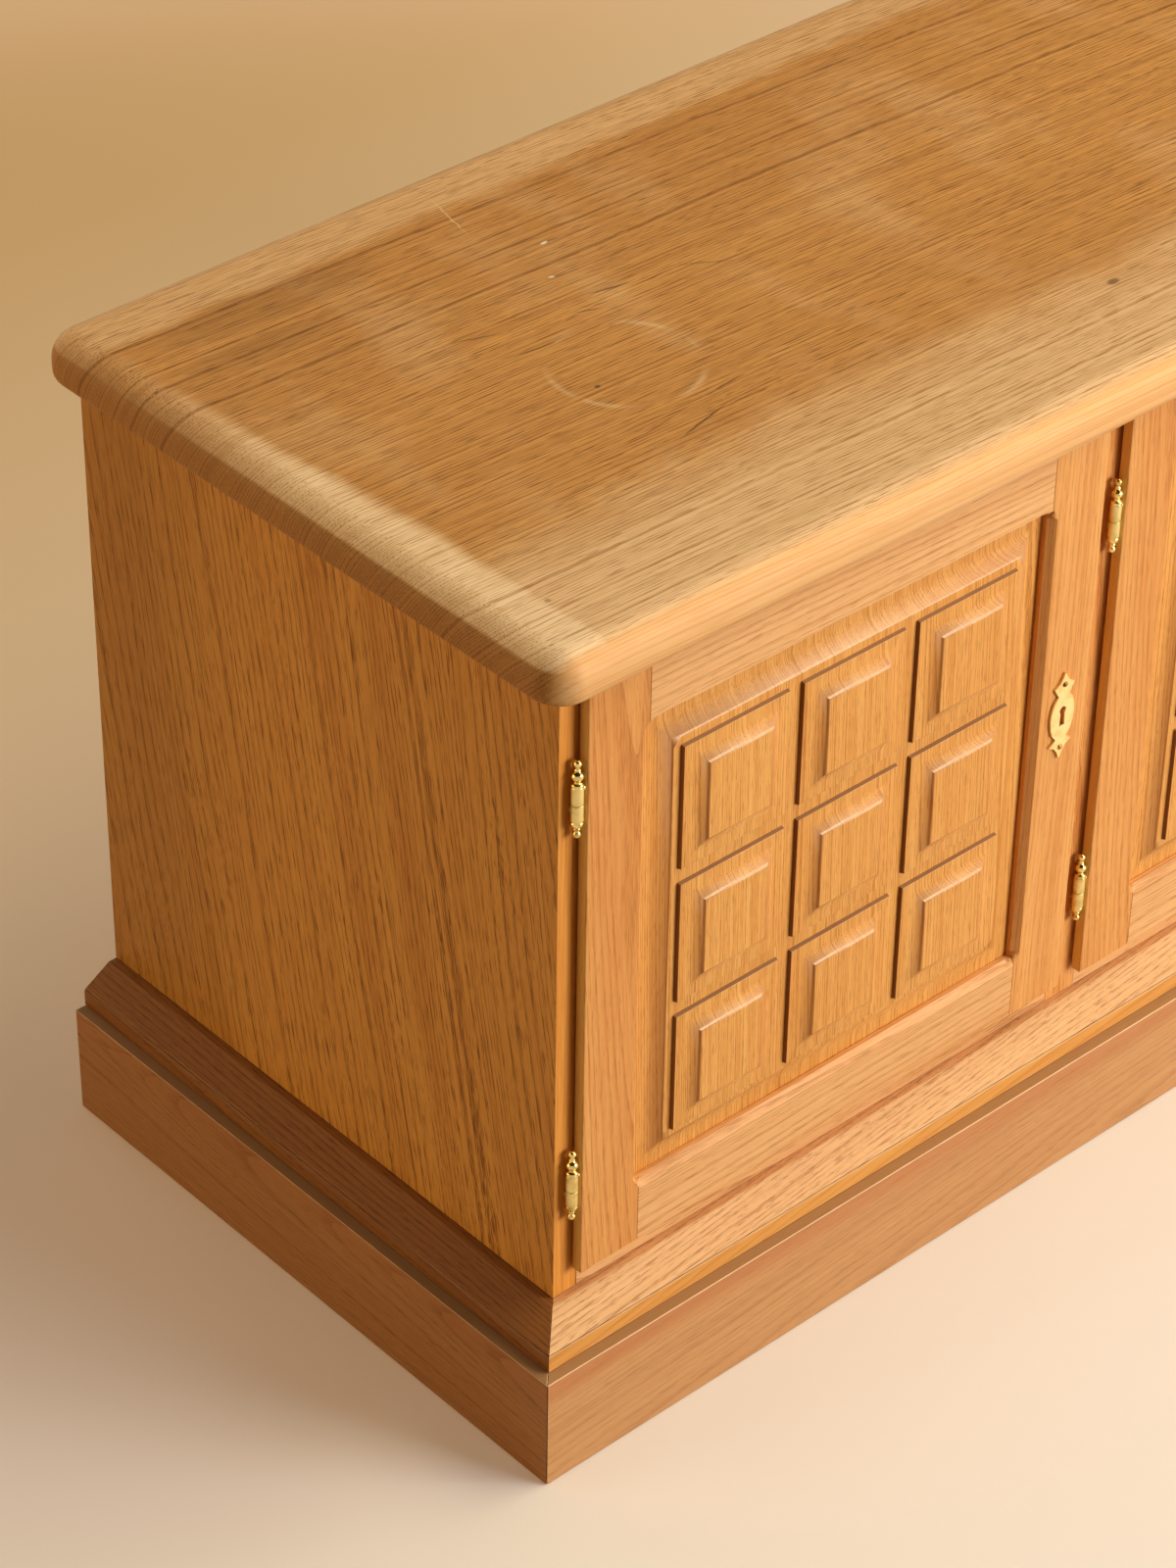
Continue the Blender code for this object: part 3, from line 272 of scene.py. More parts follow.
BASE_TONES = ("#dca166", "#ce9059", "#9c6636")
# Painted shade: the left board takes a darker copy of the front's tones
LEFT_SHADE_TONES = ("#c08750", "#a9703e", "#6c3f1d")
RIGHT_TONES = ("#cf955b", "#bd824c", "#80502a")
BASE_PORES = (18, 0.6)
# Grey dust and painted shade for the narrow ledge under the moulding
LEDGE_DUST_AND_SHADE = "#9c7a55"
STAIN = "#c56c38"
STAIN_FROM = 0.024
STAIN_FULL = 0.008
STAIN_END = 0.0012
for node, grain, heart, slant, ring in (
    ("plinth_front", "x", (120, 90, -30), (1.5, 1), 2.2),
    ("plinth_left", "y", (70, 60, 40), (0, 2), 2.4),
    ("plinth_right", "y", (-80, 40, 30), (0, -2), 2.6),
    ("plinth_back", "x", (60, -70, 40), (1, -1), 2.2),
):
    plinth = eased(node, arris=0.8)
    worn_off, reddened = (0.6, 0.4) if node == "plinth_front" else (0.4, 0.12)
    tones = {"plinth_left": LEFT_SHADE_TONES, "plinth_right": RIGHT_TONES}.get(node, BASE_TONES)
    tree = oak(
        plinth, grain, heart, tones, slant, ring, figure=8, lines=0.3, pore=BASE_PORES, open_pores=0.28,
        rubbed=worn_off,
    )[0]
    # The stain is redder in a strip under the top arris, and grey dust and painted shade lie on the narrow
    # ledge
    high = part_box(node)[1].z
    level = add(tree, "SeparateXYZ", {0: add(tree, "TexCoord").outputs["Object"]}).outputs[2]
    strip = {"Value": level, "From Min": high - STAIN_FROM, "From Max": high - STAIN_FULL, "To Max": reddened}
    strip = add(tree, "MapRange", strip, interpolation_type="SMOOTHSTEP").outputs[0]
    below = add(tree, "Math", {0: level, 1: high - STAIN_END}, operation="LESS_THAN").outputs[0]
    wash(tree, add(tree, "Math", {0: strip, 1: below}, operation="MULTIPLY").outputs[0], STAIN)
    upward = add(tree, "SeparateXYZ", {0: add(tree, "TexCoord").outputs["Normal"]}).outputs[2]
    ledge = {"Value": upward, "From Min": 0.9, "From Max": 0.99, "To Max": 0.75}
    wash(tree, add(tree, "MapRange", ledge).outputs[0], LEDGE_DUST_AND_SHADE)
INSIDE_TONES = ("#dcb584", "#c29362", "#8a5c30")
for block in ("plinth_block_left", "plinth_block_right"):
    oak(eased(block, arris=0.6), "z", (60, 40, 0), INSIDE_TONES, satin=0.6)

# Base moulding: one run section, a square band below a long splay, mitred at the front corners.
# It is solid oak, stuck on the plinth's top edge and under the carcass, with a plain rail behind.
SPLAY_TONES = ("#eebb84", "#d9a26b", "#9a5626")
BAND_TONES = ("#f0ae5a", "#d98d3e")
# A painted highlight along the front moulding's rounded nose
NOSE_HIGHLIGHT = "#f6d7a8"
SHADY_TONES = ("#a26c37", "#885020", "#55290e")
MOULDING_PORES = (13, 0.7)
for node, grain, heart, tones, slant, ring in (
    ("base_moulding_front", "x", (-150, 70, 60), SPLAY_TONES, (3.5, -2.5), 4.0),
    ("base_moulding_left", "y", (60, 50, 30), SHADY_TONES, (0, 1.5), 3.4),
    ("base_moulding_right", "y", (-50, 30, 45), RIGHT_TONES, (0, -1.5), 3.4),
):
    moulding = eased(node)
    tree, shade = oak(
        moulding, grain, heart, tones, slant, ring, figure=14, lines=0.4, pore=MOULDING_PORES, open_pores=0.48
    )[:2]
    if node == "base_moulding_front":
        # The upright band kept its yellow varnish, while the splay is scrubbed pale, and a pale highlight is
        # painted along its rounded nose
        front = add(tree, "SeparateXYZ", {0: add(tree, "TexCoord").outputs["Normal"]}).outputs[1]
        nose = {"Value": front, "From Min": -0.70, "From Max": -0.80, "To Max": 0.6}
        wash(tree, add(tree, "MapRange", nose).outputs[0], NOSE_HIGHLIGHT)
        band = add(tree, "MapRange", {"Value": front, "From Min": -0.90, "From Max": -0.98}).outputs[0]
        yellow = [linear(tone) for tone in BAND_TONES]
        yellow = add(tree, "Mix", {0: shade, 6: yellow[0], 7: yellow[1]}, data_type="RGBA").outputs[2]
        wash(tree, band, yellow)
oak(eased("base_rail_back"), "x", (50, 60, -30), BASE_TONES)

# Carcass: two veneered sides, two solid dividers, a bottom board, and shelves in stopped housings.
# The sides' veneer is flame-figured and stands upright, and the thin back is let into rebates.
SIDE_TONES = ("#f0b056", "#d5903c", "#80480f")
SIDE_PORES = (24, 0.55)
OLD_VARNISH = "#7c4a00"
VARNISH_FROM = 0.06
VARNISH_FULL = 0.19
LIPPING_TONES = ("#fbae4e", "#e38c30")
for node, heart, slant in (("side_left", (90, 330, 0), (0, -10)), ("side_right", (-90, -160, 0), (0, 8))):
    side = eased(node, arris=0.8)
    tree = oak(
        side, "z", heart, SIDE_TONES, slant, ring=6.5, figure=24, lines=0.3, pore=SIDE_PORES, open_pores=0.9
    )[0]
    place = add(tree, "TexCoord").outputs["Object"]
    # The rear, away from hands and windows, keeps its old dark varnish
    rear = add(tree, "SeparateXYZ", {0: place}).outputs[1]
    rear = {"Value": rear, "From Min": VARNISH_FROM, "From Max": VARNISH_FULL, "To Max": 0.4}
    wash(tree, add(tree, "MapRange", rear).outputs[0], OLD_VARNISH)
    # The front edge is a lipping of straight-grained oak, redder than the veneer, in strands 70 mm long
    strand = add(tree, "VectorMath", {0: place, 1: (700, 700, 14)}, operation="MULTIPLY").outputs[0]
    strand = add(tree, "TexNoise", {"Vector": strand, "Scale": 1, "Detail": 3}).outputs[0]
    strand = add(tree, "MapRange", {"Value": strand, "From Min": 0.3, "From Max": 0.7}).outputs[0]
    red = [linear(tone) for tone in LIPPING_TONES]
    red = add(tree, "Mix", {0: strand, 6: red[0], 7: red[1]}, data_type="RGBA").outputs[2]
    front = add(tree, "SeparateXYZ", {0: add(tree, "TexCoord").outputs["Normal"]}).outputs[1]
    wash(tree, add(tree, "MapRange", {"Value": front, "From Min": -0.5, "From Max": -0.7}).outputs[0], red)
FRAME_TONES = ("#f1ad60", "#d98b40", "#96561f")
RAIL_TONES = ("#f5bd7e", "#e3a362", "#a0622a")
oak(eased("divider_left", arris=0.6), "z", (40, 90, 0), FRAME_TONES, slant=(2, 1))
oak(eased("divider_right", arris=0.6), "z", (-30, 80, 0), FRAME_TONES, slant=(-2, 1))
oak(eased("bottom_board", arris=0.6), "x", (90, 120, 60), RAIL_TONES, slant=(1, 1))
for number in (1, 2, 3):
    shelf = eased(f"shelf_{number}", arris=0.9)
    oak(shelf, "x", (40 * number, 160 - 70 * number, 70), INSIDE_TONES, slant=(2, number - 2), satin=0.55)
back = frame["nodes"]["back_panel"]
oak(back, "z", (160, 220, 0), INSIDE_TONES, slant=(1, 3), figure=16, satin=0.6)

# Top: a thick solid board with grain along its length, rounded over all round and proud on every side.
# The varnish has worn thin along the edges, which are paler, and a pot has left its ring on it.
TOP_UPPER_ROUND = 0.020
TOP_LOWER_ROUND = 0.010
TOP_CORNER_ROUND = 0.024
low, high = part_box("top_board")
bpy.ops.object.select_all(action="DESELECT")
bpy.ops.mesh.primitive_cube_add(size=1, location=(low + high) / 2, scale=high - low)
top = bpy.context.object
top.name = "top_board.oak"
bpy.ops.object.transform_apply(location=True, rotation=True, scale=True)
bpy.ops.object.mode_set(mode="EDIT")
for offset, segments, chosen in (
    (TOP_CORNER_ROUND, 8, lambda e: abs(e.verts[0].co.z - e.verts[1].co.z) > 0.01),
    (TOP_UPPER_ROUND, 12, lambda e: min(v.co.z for v in e.verts) > high.z - 0.0001),
    (TOP_LOWER_ROUND, 8, lambda e: max(v.co.z for v in e.verts) < low.z + 0.0001),
):
    pick("EDGE", chosen)
    bpy.ops.mesh.bevel(offset=offset, segments=segments, profile=0.5, affect="EDGES", clamp_overlap=False)
bpy.ops.mesh.select_all(action="SELECT")
bpy.ops.mesh.remove_doubles(threshold=MERGED)
bpy.ops.object.mode_set(mode="OBJECT")
clean_shading(top)
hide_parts("top_board")
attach(top, "carcass")
TOP_TONES = ("#da9d54", "#b67a3b", "#6c3f18")
WORN_TONES = ("#ffdfb6", "#ebc08e")
EDGE_TONES = ("#f6c080", "#e6a561")
TOP_HEART = (200, -600, -300)
TOP_PORES = (24, 0.62)
tree, shade, depth = oak(
    top, "x", TOP_HEART, TOP_TONES, slant=(0.6, 2.0), ring=2.3, figure=12, lines=0.55,
    pore=TOP_PORES, open_pores=0.7, satin=0.55, soaked=0.3,
)
place = add(tree, "TexCoord").outputs["Object"]
spot = add(tree, "SeparateXYZ", {0: place}).outputs
# The worn strips have ragged borders, in waves 40 mm long, and the left end is barest towards the front
edge_at = add(tree, "TexNoise", {"Vector": place, "Scale": 26, "Detail": 4}).outputs[0]
barest = {"Value": spot[1], "From Min": 0.17, "From Max": 0.0, "To Min": 0.18, "To Max": 1.0}
barest = add(tree, "MapRange", barest).outputs[0]
# Each strip's axis, where it starts and is full, how bare it gets, how ragged it is and how it widens
worn = 0.0
for axis, start, end, most, ragged, widening in (
    (0, low.x + 0.040, low.x + 0.024, barest, 0.014, 0.07),
    (0, high.x - 0.040, high.x - 0.024, 0.8, 0.014, -0.07),
    (1, high.y - 0.062, high.y - 0.046, 0.38, 0.022, 0),
    (1, low.y + 0.150, low.y + 0.060, 0.62, 0.050, 0),
):
    moved = add(tree, "Math", {0: edge_at, 1: ragged, 2: -ragged / 2}, operation="MULTIPLY_ADD").outputs[0]
    moved = add(tree, "Math", {0: spot[1 - axis], 1: widening, 2: moved}, operation="MULTIPLY_ADD").outputs[0]
    moved = add(tree, "Math", {0: spot[axis], 1: moved}, operation="ADD").outputs[0]
    band = {"Value": moved, "From Min": start, "From Max": end, "To Max": most}
    band = add(tree, "MapRange", band, interpolation_type="SMOOTHSTEP").outputs[0]
    worn = add(tree, "Math", {0: worn, 1: band}, operation="MAXIMUM").outputs[0]
# Wiped patches, 60 to 150 mm across, run in from the ends
wiped_at = add(tree, "VectorMath", {0: place, 1: (11, 5, 0)}, operation="MULTIPLY").outputs[0]
wiped = add(tree, "TexNoise", {"Vector": wiped_at, "Scale": 1, "Detail": 3}).outputs[0]
wiped = add(tree, "MapRange", {"Value": wiped, "From Min": 0.50, "From Max": 0.75, "To Max": 0.28}).outputs[0]
worn = add(tree, "Math", {0: worn, 1: wiped}, operation="MAXIMUM").outputs[0]
# All of that ends part of the way down the rounded edge
WEAR_STOP = 0.0115
WEAR_FULL = 0.0085
upper = {"Value": spot[2], "From Min": high.z - WEAR_STOP, "From Max": high.z - WEAR_FULL}
upper = add(tree, "MapRange", upper, interpolation_type="SMOOTHSTEP").outputs[0]
worn = add(tree, "Math", {0: worn, 1: upper}, operation="MULTIPLY").outputs[0]
pale = [linear(tone) for tone in WORN_TONES]
pale = add(tree, "Mix", {0: shade, 6: pale[0], 7: pale[1]}, data_type="RGBA").outputs[2]
pale = add(tree, "Mix", {0: depth, 6: pale, 7: linear(TOP_TONES[1])}, data_type="RGBA").outputs[2]
wash(tree, worn, pale)
# The front edge was never stood on and is still bright
front = add(tree, "SeparateXYZ", {0: add(tree, "TexCoord").outputs["Normal"]}).outputs[1]
front = {"Value": front, "From Min": -0.35, "From Max": -0.8}
front = add(tree, "MapRange", front, interpolation_type="SMOOTHSTEP").outputs[0]
bright = [linear(tone) for tone in EDGE_TONES]
bright = add(tree, "Mix", {0: shade, 6: bright[0], 7: bright[1]}, data_type="RGBA").outputs[2]
wash(tree, front, bright)
# Marks of use: dark patches, drying checks, a burn, a scratch, flecks of paint and a pin knot,
# each at its place in millimetres, with half its length and width and its angle to the grain
PATCH = "#74461a"
CHECK = "#5f3512"
FLECK = "#fbeed6"
MARKS = (
    (-605, 190, 115, 26, -1, PATCH, 0.32),
    (-640, 150, 75, 22, -3, PATCH, 0.22),
    (-529, 68, 23, 0.9, -20, CHECK, 0.70),
    (-509, 33, 22, 1.1, -7, CHECK, 0.75),
    (-450, 47, 14, 0.9, -20, CHECK, 0.70),
    (-421, 59, 19, 1.2, -11, CHECK, 0.80),
    (-349, 42, 26, 0.8, -32, CHECK, 0.55),
    (-398, 11, 27, 0.7, 0, CHECK, 0.45),
    (-485, -101, 31, 1.3, 13, CHECK, 0.80),
    (-443, -78, 18, 1.2, 4, CHECK, 0.75),
    (-511, -87, 23, 0.8, 8, CHECK, 0.55),
    (-543, 52, 8, 0.9, -12, CHECK, 0.60),
    (-553, 143, 15, 0.8, -10, CHECK, 0.50),
    (-603, 108, 17, 0.8, -1, CHECK, 0.50),
    (-509, -27, 3.6, 2.4, 0, "#4a3a10", 0.80),
    (-440, 199, 32, 0.9, 77, "#eccb98", 0.55),
    (-414, 132, 4, 1.6, 10, FLECK, 0.85),
    (-440, 95, 3, 1.4, -20, FLECK, 0.80),
    (-162, -152, 7, 4.0, 0, "#5a3413", 0.70),
    (-693, -187, 3, 2.0, 0, "#4a2a10", 0.45),
)
# Their outlines are ruffled by 3 mm along the grain and 1.2 mm across it, in waves 6 mm long
RUFFLE = Vector((0.0030, 0.0012, 0))
ruffled = add(tree, "TexNoise", {"Vector": place, "Scale": 160, "Detail": 3}).outputs["Color"]
ruffled = add(tree, "VectorMath", {0: ruffled, 1: RUFFLE, 2: place}, operation="MULTIPLY_ADD").outputs[0]
for mark_x, mark_y, half_length, half_width, angle, tone, strength in MARKS:
    own_frame = {
        "Vector": ruffled,
        "Location": Vector((mark_x, mark_y, 0)) / 1000 + RUFFLE / 2,
        "Rotation": (0, 0, math.radians(angle)),
        "Scale": (half_length / 1000, half_width / 1000, 1),
    }
    across = add(tree, "Mapping", own_frame, vector_type="TEXTURE").outputs[0]
    across = add(tree, "VectorMath", {0: across, 1: (1, 1, 0)}, operation="MULTIPLY").outputs[0]
    across = add(tree, "VectorMath", {0: across}, operation="LENGTH").outputs["Value"]
    there = {"Value": across, "From Min": 1.0, "From Max": 0.4, "To Max": strength}
    there = add(tree, "MapRange", there, interpolation_type="SMOOTHSTEP").outputs[0]
    there = add(tree, "Math", {0: there, 1: upper}, operation="MULTIPLY").outputs[0]
    wash(tree, there, tone)
# A pot has left a broken pale ring, 104 mm across
RING_PLACE = (-0.477, -0.018, high.z)
RING_RADIUS = 0.052
ring = add(tree, "VectorMath", {0: place, 1: RING_PLACE}, operation="DISTANCE").outputs["Value"]
ring = add(tree, "Math", {0: ring, 1: RING_RADIUS}, operation="SUBTRACT").outputs[0]
ring = add(tree, "Math", {0: ring}, operation="ABSOLUTE").outputs[0]
ring = add(tree, "MapRange", {"Value": ring, "From Min": 0.0035, "From Max": 0.0005}).outputs[0]
broken = {"Value": edge_at, "From Min": 0.45, "From Max": 0.62, "To Max": 0.28}
broken = add(tree, "MapRange", broken).outputs[0]
wash(tree, add(tree, "Math", {0: ring, 1: broken}, operation="MULTIPLY").outputs[0], WORN_TONES[0])

# Doors: two stiles and two rails, mortised and tenoned, with a stopped chamfer run round the opening.
# Solid oak, upright grain in the stiles and level grain in the rails, so a fine line shows at each joint.
PLANED_EDGE = "#ffe08a"
DOOR_PORES = (20, 0.6)
LOCK_STILE_PORES = (16, 0.6)
for number in (1, 2, 3):
    door = f"door_{number}"
    stile = eased(f"{door}_hinge_stile", arris=0.5)
    tree = oak(
        stile, "z", (14 * number, 50, 0), FRAME_TONES, slant=(2.5, 1), figure=12, lines=0.3,
        pore=DOOR_PORES, open_pores=0.35,
    )[0]
    # The planed edge beside the hinges never had much stain and is yellower
    facing = add(tree, "SeparateXYZ", {0: add(tree, "TexCoord").outputs["Normal"]}).outputs[0]
    facing = add(tree, "Math", {0: facing}, operation="ABSOLUTE").outputs[0]
    planed = {"Value": facing, "From Min": 0.8, "From Max": 0.95, "To Max": 0.6}
    wash(tree, add(tree, "MapRange", planed).outputs[0], PLANED_EDGE)
    stile = eased(f"{door}_lock_stile", arris=0.5)
    oak(
        stile, "z", (-80, 90 + 9 * number, 0), FRAME_TONES, slant=(1, 1), ring=2.4, figure=6, lines=0.25,
        pore=LOCK_STILE_PORES, open_pores=0.25,
    )
    for name, heart, slant, ring in (
        ("top_rail", (30, 70, 30 + 12 * number), (0.6, 1), 2.6),
        ("bottom_rail", (-40, 80, -30 - 9 * number), (-0.6, 1), 2.8),
    ):
        rail = eased(f"{door}_{name}", arris=0.5)
        oak(rail, "x", heart, RAIL_TONES, slant, ring, figure=7, pore=DOOR_PORES, open_pores=0.4)

# Carved panels: one board each, with a coved field and nine raised blocks that are themselves coved.
# They are quarter-sawn oak, worked with cutters, so the coves are hollow and the arrises sharp.
PANEL_BORDER = 0.0080
FIELD_COVE = 0.0150
FIELD_RISE = 0.0065
FIELD_BAND = 0.006
CELLS = 3
CELL_GROOVE = 0.0113
CELL_WALL = 0.0006
CELL_RISE = 0.003
CELL_BORDER = 0.0072
CELL_COVE = 0.0112
PLATEAU_RISE = 0.005
TONGUE = 0.0077
TONGUE_THICKNESS = 0.007
COVE_STEPS = 10
PANEL_ARRIS = 0.0003
LONG_ARRIS = 0.03


def cove(width, rise):
    """Works a hollow about the selected faces, level at its foot and steepest at the sharp arris."""
    reach, height = 0, 0
    for step in range(1, COVE_STEPS + 1):
        further = width * step / COVE_STEPS
        higher = rise * (step / COVE_STEPS) ** 2
        bpy.ops.mesh.inset(thickness=further - reach, depth=higher - height, use_individual=True)
        reach, height = further, higher


low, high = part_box("door_1_panel")
bpy.ops.object.select_all(action="DESELECT")
back_face = high.y
middle = Vector(((low.x + high.x) / 2, back_face - TONGUE_THICKNESS / 2, (low.z + high.z) / 2))
size = (high.x - low.x, TONGUE_THICKNESS, high.z - low.z)
bpy.ops.mesh.primitive_cube_add(size=1, location=middle, scale=size)
carving = bpy.context.object
bpy.ops.object.transform_apply(location=True, rotation=True, scale=True)
bpy.ops.object.mode_set(mode="EDIT")
pick("FACE", lambda face: face.normal.y < -0.5)
bpy.ops.mesh.inset(thickness=TONGUE + PANEL_BORDER, depth=0, use_individual=True)
cove(FIELD_COVE, FIELD_RISE)
field_y = back_face - TONGUE_THICKNESS - FIELD_RISE
edge = TONGUE + PANEL_BORDER + FIELD_COVE + FIELD_BAND
cell_size = []


def on_field(face):
    """The level of the field, before the blocks are raised from it."""
    return face.normal.y < -0.9 and abs(face.calc_center_median().y - field_y) < 0.0002


for axis in (0, 2):
    span = high[axis] - low[axis] - 2 * edge
    cell = (span - (CELLS - 1) * CELL_GROOVE) / CELLS
    cell_size.append(cell)
    for index in range(CELLS):
        start = low[axis] + edge + index * (cell + CELL_GROOVE)
        for stop in (start, start + cell):
            pick("FACE", on_field)
            point, normal = Vector(), Vector()
            point[axis], normal[axis] = stop, 1
            bpy.ops.mesh.bisect(plane_co=point, plane_no=normal)
cell_area = cell_size[0] * cell_size[1]
pick("FACE", lambda face: on_field(face) and abs(face.calc_area() / cell_area - 1) < 0.01)
bpy.ops.mesh.inset(thickness=CELL_WALL, depth=CELL_RISE, use_individual=True)
bpy.ops.mesh.inset(thickness=CELL_BORDER, depth=0, use_individual=True)
cove(CELL_COVE, PLATEAU_RISE)


def carved_arris(line):
    """The long level and upright arrises of the field and the blocks."""
    if len(line.link_faces) != 2 or line.calc_face_angle_signed() < math.radians(30):
        return False
    run = (line.verts[1].co - line.verts[0].co).normalized()
    return line.calc_length() > LONG_ARRIS and max(abs(run.x), abs(run.z)) > 0.999


pick("EDGE", carved_arris)
bpy.ops.mesh.bevel(offset=PANEL_ARRIS, segments=2, profile=0.5, affect="EDGES", clamp_overlap=True)
bpy.ops.object.mode_set(mode="OBJECT")
clean_shading(carving)
PANEL_TONES = ("#f4b25e", "#d98d38", "#8a4e14")
# Painted shade for the blocks' steep walls
WALL_SHADE = "#6b3a0e"
# Painted shade for the upright hollows
HOLLOW_SHADE = "#9c4a00"
# A painted sheen for the hollows that face up
PAINTED_SHEEN = "#eed6ba"
PANEL_PORES = (14, 0.5)


def copied(pattern, name, place):
    """A copy with its own mesh, moved to its place there."""
    made = bpy.data.objects.new(name, pattern.data.copy())
    bpy.context.scene.collection.objects.link(made)
    made.data.transform(place)
    return made


for number in (1, 2, 3):
    node = f"door_{number}_panel"
    panel = copied(carving, f"{node}.oak", Matrix.Translation(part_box(node)[0] - low))
    heart = (240 - 30 * number, 120, 0)
    tree = oak(
        panel, "z", heart, PANEL_TONES, slant=(0.8, 1), ring=1.7, figure=4, pore=PANEL_PORES, open_pores=0.4,
        satin=0.36,
    )[0]
    # Painted shade darkens the upright hollows, those facing left and right alike
    facing = add(tree, "SeparateXYZ", {0: add(tree, "TexCoord").outputs["Normal"]}).outputs
    upright = add(tree, "Math", {0: facing[0]}, operation="ABSOLUTE").outputs[0]
    hollow = {"Value": upright, "From Min": 0.10, "From Max": 0.52, "To Max": 0.66}
    wash(tree, add(tree, "MapRange", hollow).outputs[0], HOLLOW_SHADE)
    # A pale sheen is painted on the hollows that face up
    upward = {"Value": facing[2], "From Min": 0.10, "From Max": 0.55, "To Max": 0.34}
    wash(tree, add(tree, "MapRange", upward).outputs[0], PAINTED_SHEEN)
    # Painted shade makes the steep little walls of the blocks the darkest
    wall = {"Value": facing[1], "From Min": -0.55, "From Max": -0.30, "To Max": 0.6}
    wash(tree, add(tree, "MapRange", wall).outputs[0], WALL_SHADE)
    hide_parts(node)
    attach(panel, f"door_{number}")
bpy.data.objects.remove(carving)

# Hinges: turned brass, in two halves on one pin, each half screwed in by a stem at right angles.
# The knuckles are left satin from the lathe, and the beads and balls of the finials are polished.


def handled_metal(name, colour, aged, gloss, grit):
    """Brass or steel, bare and handled: a little darker where fingers don't reach, in patches 7 mm across,
    with fine marks of the lathe and of rubbing, 0.4 mm apart and 3 mm long."""
    material = bpy.data.materials.new(name)
    material.use_nodes = True
    tree = material.node_tree
    shader = tree.nodes["Principled BSDF"]
    shader.inputs["Metallic"].default_value = 1.0
    place = add(tree, "TexCoord").outputs["Object"]
    film = add(tree, "TexNoise", {"Vector": place, "Scale": 140, "Detail": 4}).outputs[0]
    film = add(tree, "MapRange", {"Value": film, "From Min": 0.45, "From Max": 0.75}).outputs[0]
    tint = add(tree, "Mix", {0: film, 6: linear(colour), 7: linear(aged)}, data_type="RGBA").outputs[2]
    tree.links.new(tint, shader.inputs["Base Color"])
    turned_at = add(tree, "VectorMath", {0: place, 1: (300, 300, 2600)}, operation="MULTIPLY").outputs[0]
    marks = add(tree, "TexNoise", {"Vector": turned_at, "Scale": 1, "Detail": 2}).outputs[0]
    rough = add(tree, "Math", {0: marks, 1: grit, 2: gloss}, operation="MULTIPLY_ADD").outputs[0]
    tree.links.new(rough, shader.inputs["Roughness"])
    bump = add(tree, "Bump", {"Strength": 0.12, "Distance": 0.0002, "Height": marks})
    tree.links.new(bump.outputs[0], shader.inputs["Normal"])
    return material


def turned(first, steps, sides=32):
    """A turned piece standing on the origin, drawn up from a thin disc step by step, in millimetres."""
    radius, height = [part / 1000 for part in first]
    bpy.ops.object.select_all(action="DESELECT")
    bpy.ops.mesh.primitive_cylinder_add(
        vertices=sides, radius=radius, depth=height, location=(0, 0, height / 2)
    )
    made = bpy.context.object
    bpy.ops.object.transform_apply(location=True, rotation=True, scale=True)
    bpy.ops.object.mode_set(mode="EDIT")
    pick("FACE", lambda face: face.normal.z > 0.9)
    for wide, high in steps:
        wide, high = wide / 1000, high / 1000
        bpy.ops.mesh.extrude_region_move(TRANSFORM_OT_translate={"value": (0, 0, high - height)})
        bpy.ops.transform.resize(value=(wide / radius, wide / radius, 1), center_override=(0, 0, high))
        radius, height = wide, high
    bpy.ops.mesh.merge(type="CENTER")
    bpy.ops.object.mode_set(mode="OBJECT")
    return made


def bead(centre, radius, half_height, start, end, count):
    """Steps of a turned bead, from one angle off its foot to another."""
    angles = [math.radians(start + (end - start) * i / count) for i in range(count + 1)]
    return [(radius * math.sin(a), centre - half_height * math.cos(a)) for a in angles]


# Both halves are drawn up from the seam between them: the radius and the height of each step in millimetres
KNUCKLE = 4.2
upper = [(KNUCKLE, 0.5), (KNUCKLE, 12.5), (3.8, 12.9), (3.8, 13.3), (KNUCKLE, 13.6), (KNUCKLE, 14.6)]
upper += [(3.9, 15.3), (3.2, 15.9), (2.4, 16.3), (2.3, 17.1)]
upper += bead(20.7, KNUCKLE, 3.7, 35, 145, 10)
upper += [(1.9, 24.5), (2.3, 25.0), (2.3, 25.6), (1.7, 26.2)]
upper += bead(29.6, 2.8, 2.8, 40, 175, 10)
lower = [(KNUCKLE, 0.5), (KNUCKLE, 12.3), (3.8, 12.7), (3.8, 13.2), (KNUCKLE, 13.6), (KNUCKLE, 14.3)]
lower += [(4.0, 15.4), (3.5, 16.6), (2.8, 17.5), (2.1, 18.1), (2.4, 18.5), (2.4, 19.0), (1.7, 19.7)]
lower += bead(22.8, 2.8, 2.8, 40, 175, 10)
stem = [(1.9, 0.5), (1.9, 3.4), (2.5, 3.7), (2.5, 4.6), (1.9, 4.9), (1.9, 17.0), (0.9, 17.6)]
SATIN_BRASS = handled_metal("satin_turned_brass", "#e9d28c", "#c9a95f", gloss=0.36, grit=0.16)
POLISHED_BRASS = handled_metal("polished_turned_brass", "#f0d488", "#b8944a", gloss=0.12, grit=0.12)
HALF_SEAM = 0.00015
KNUCKLE_END = 0.0127
KNUCKLE_SKIN = 3.5
halves = {}
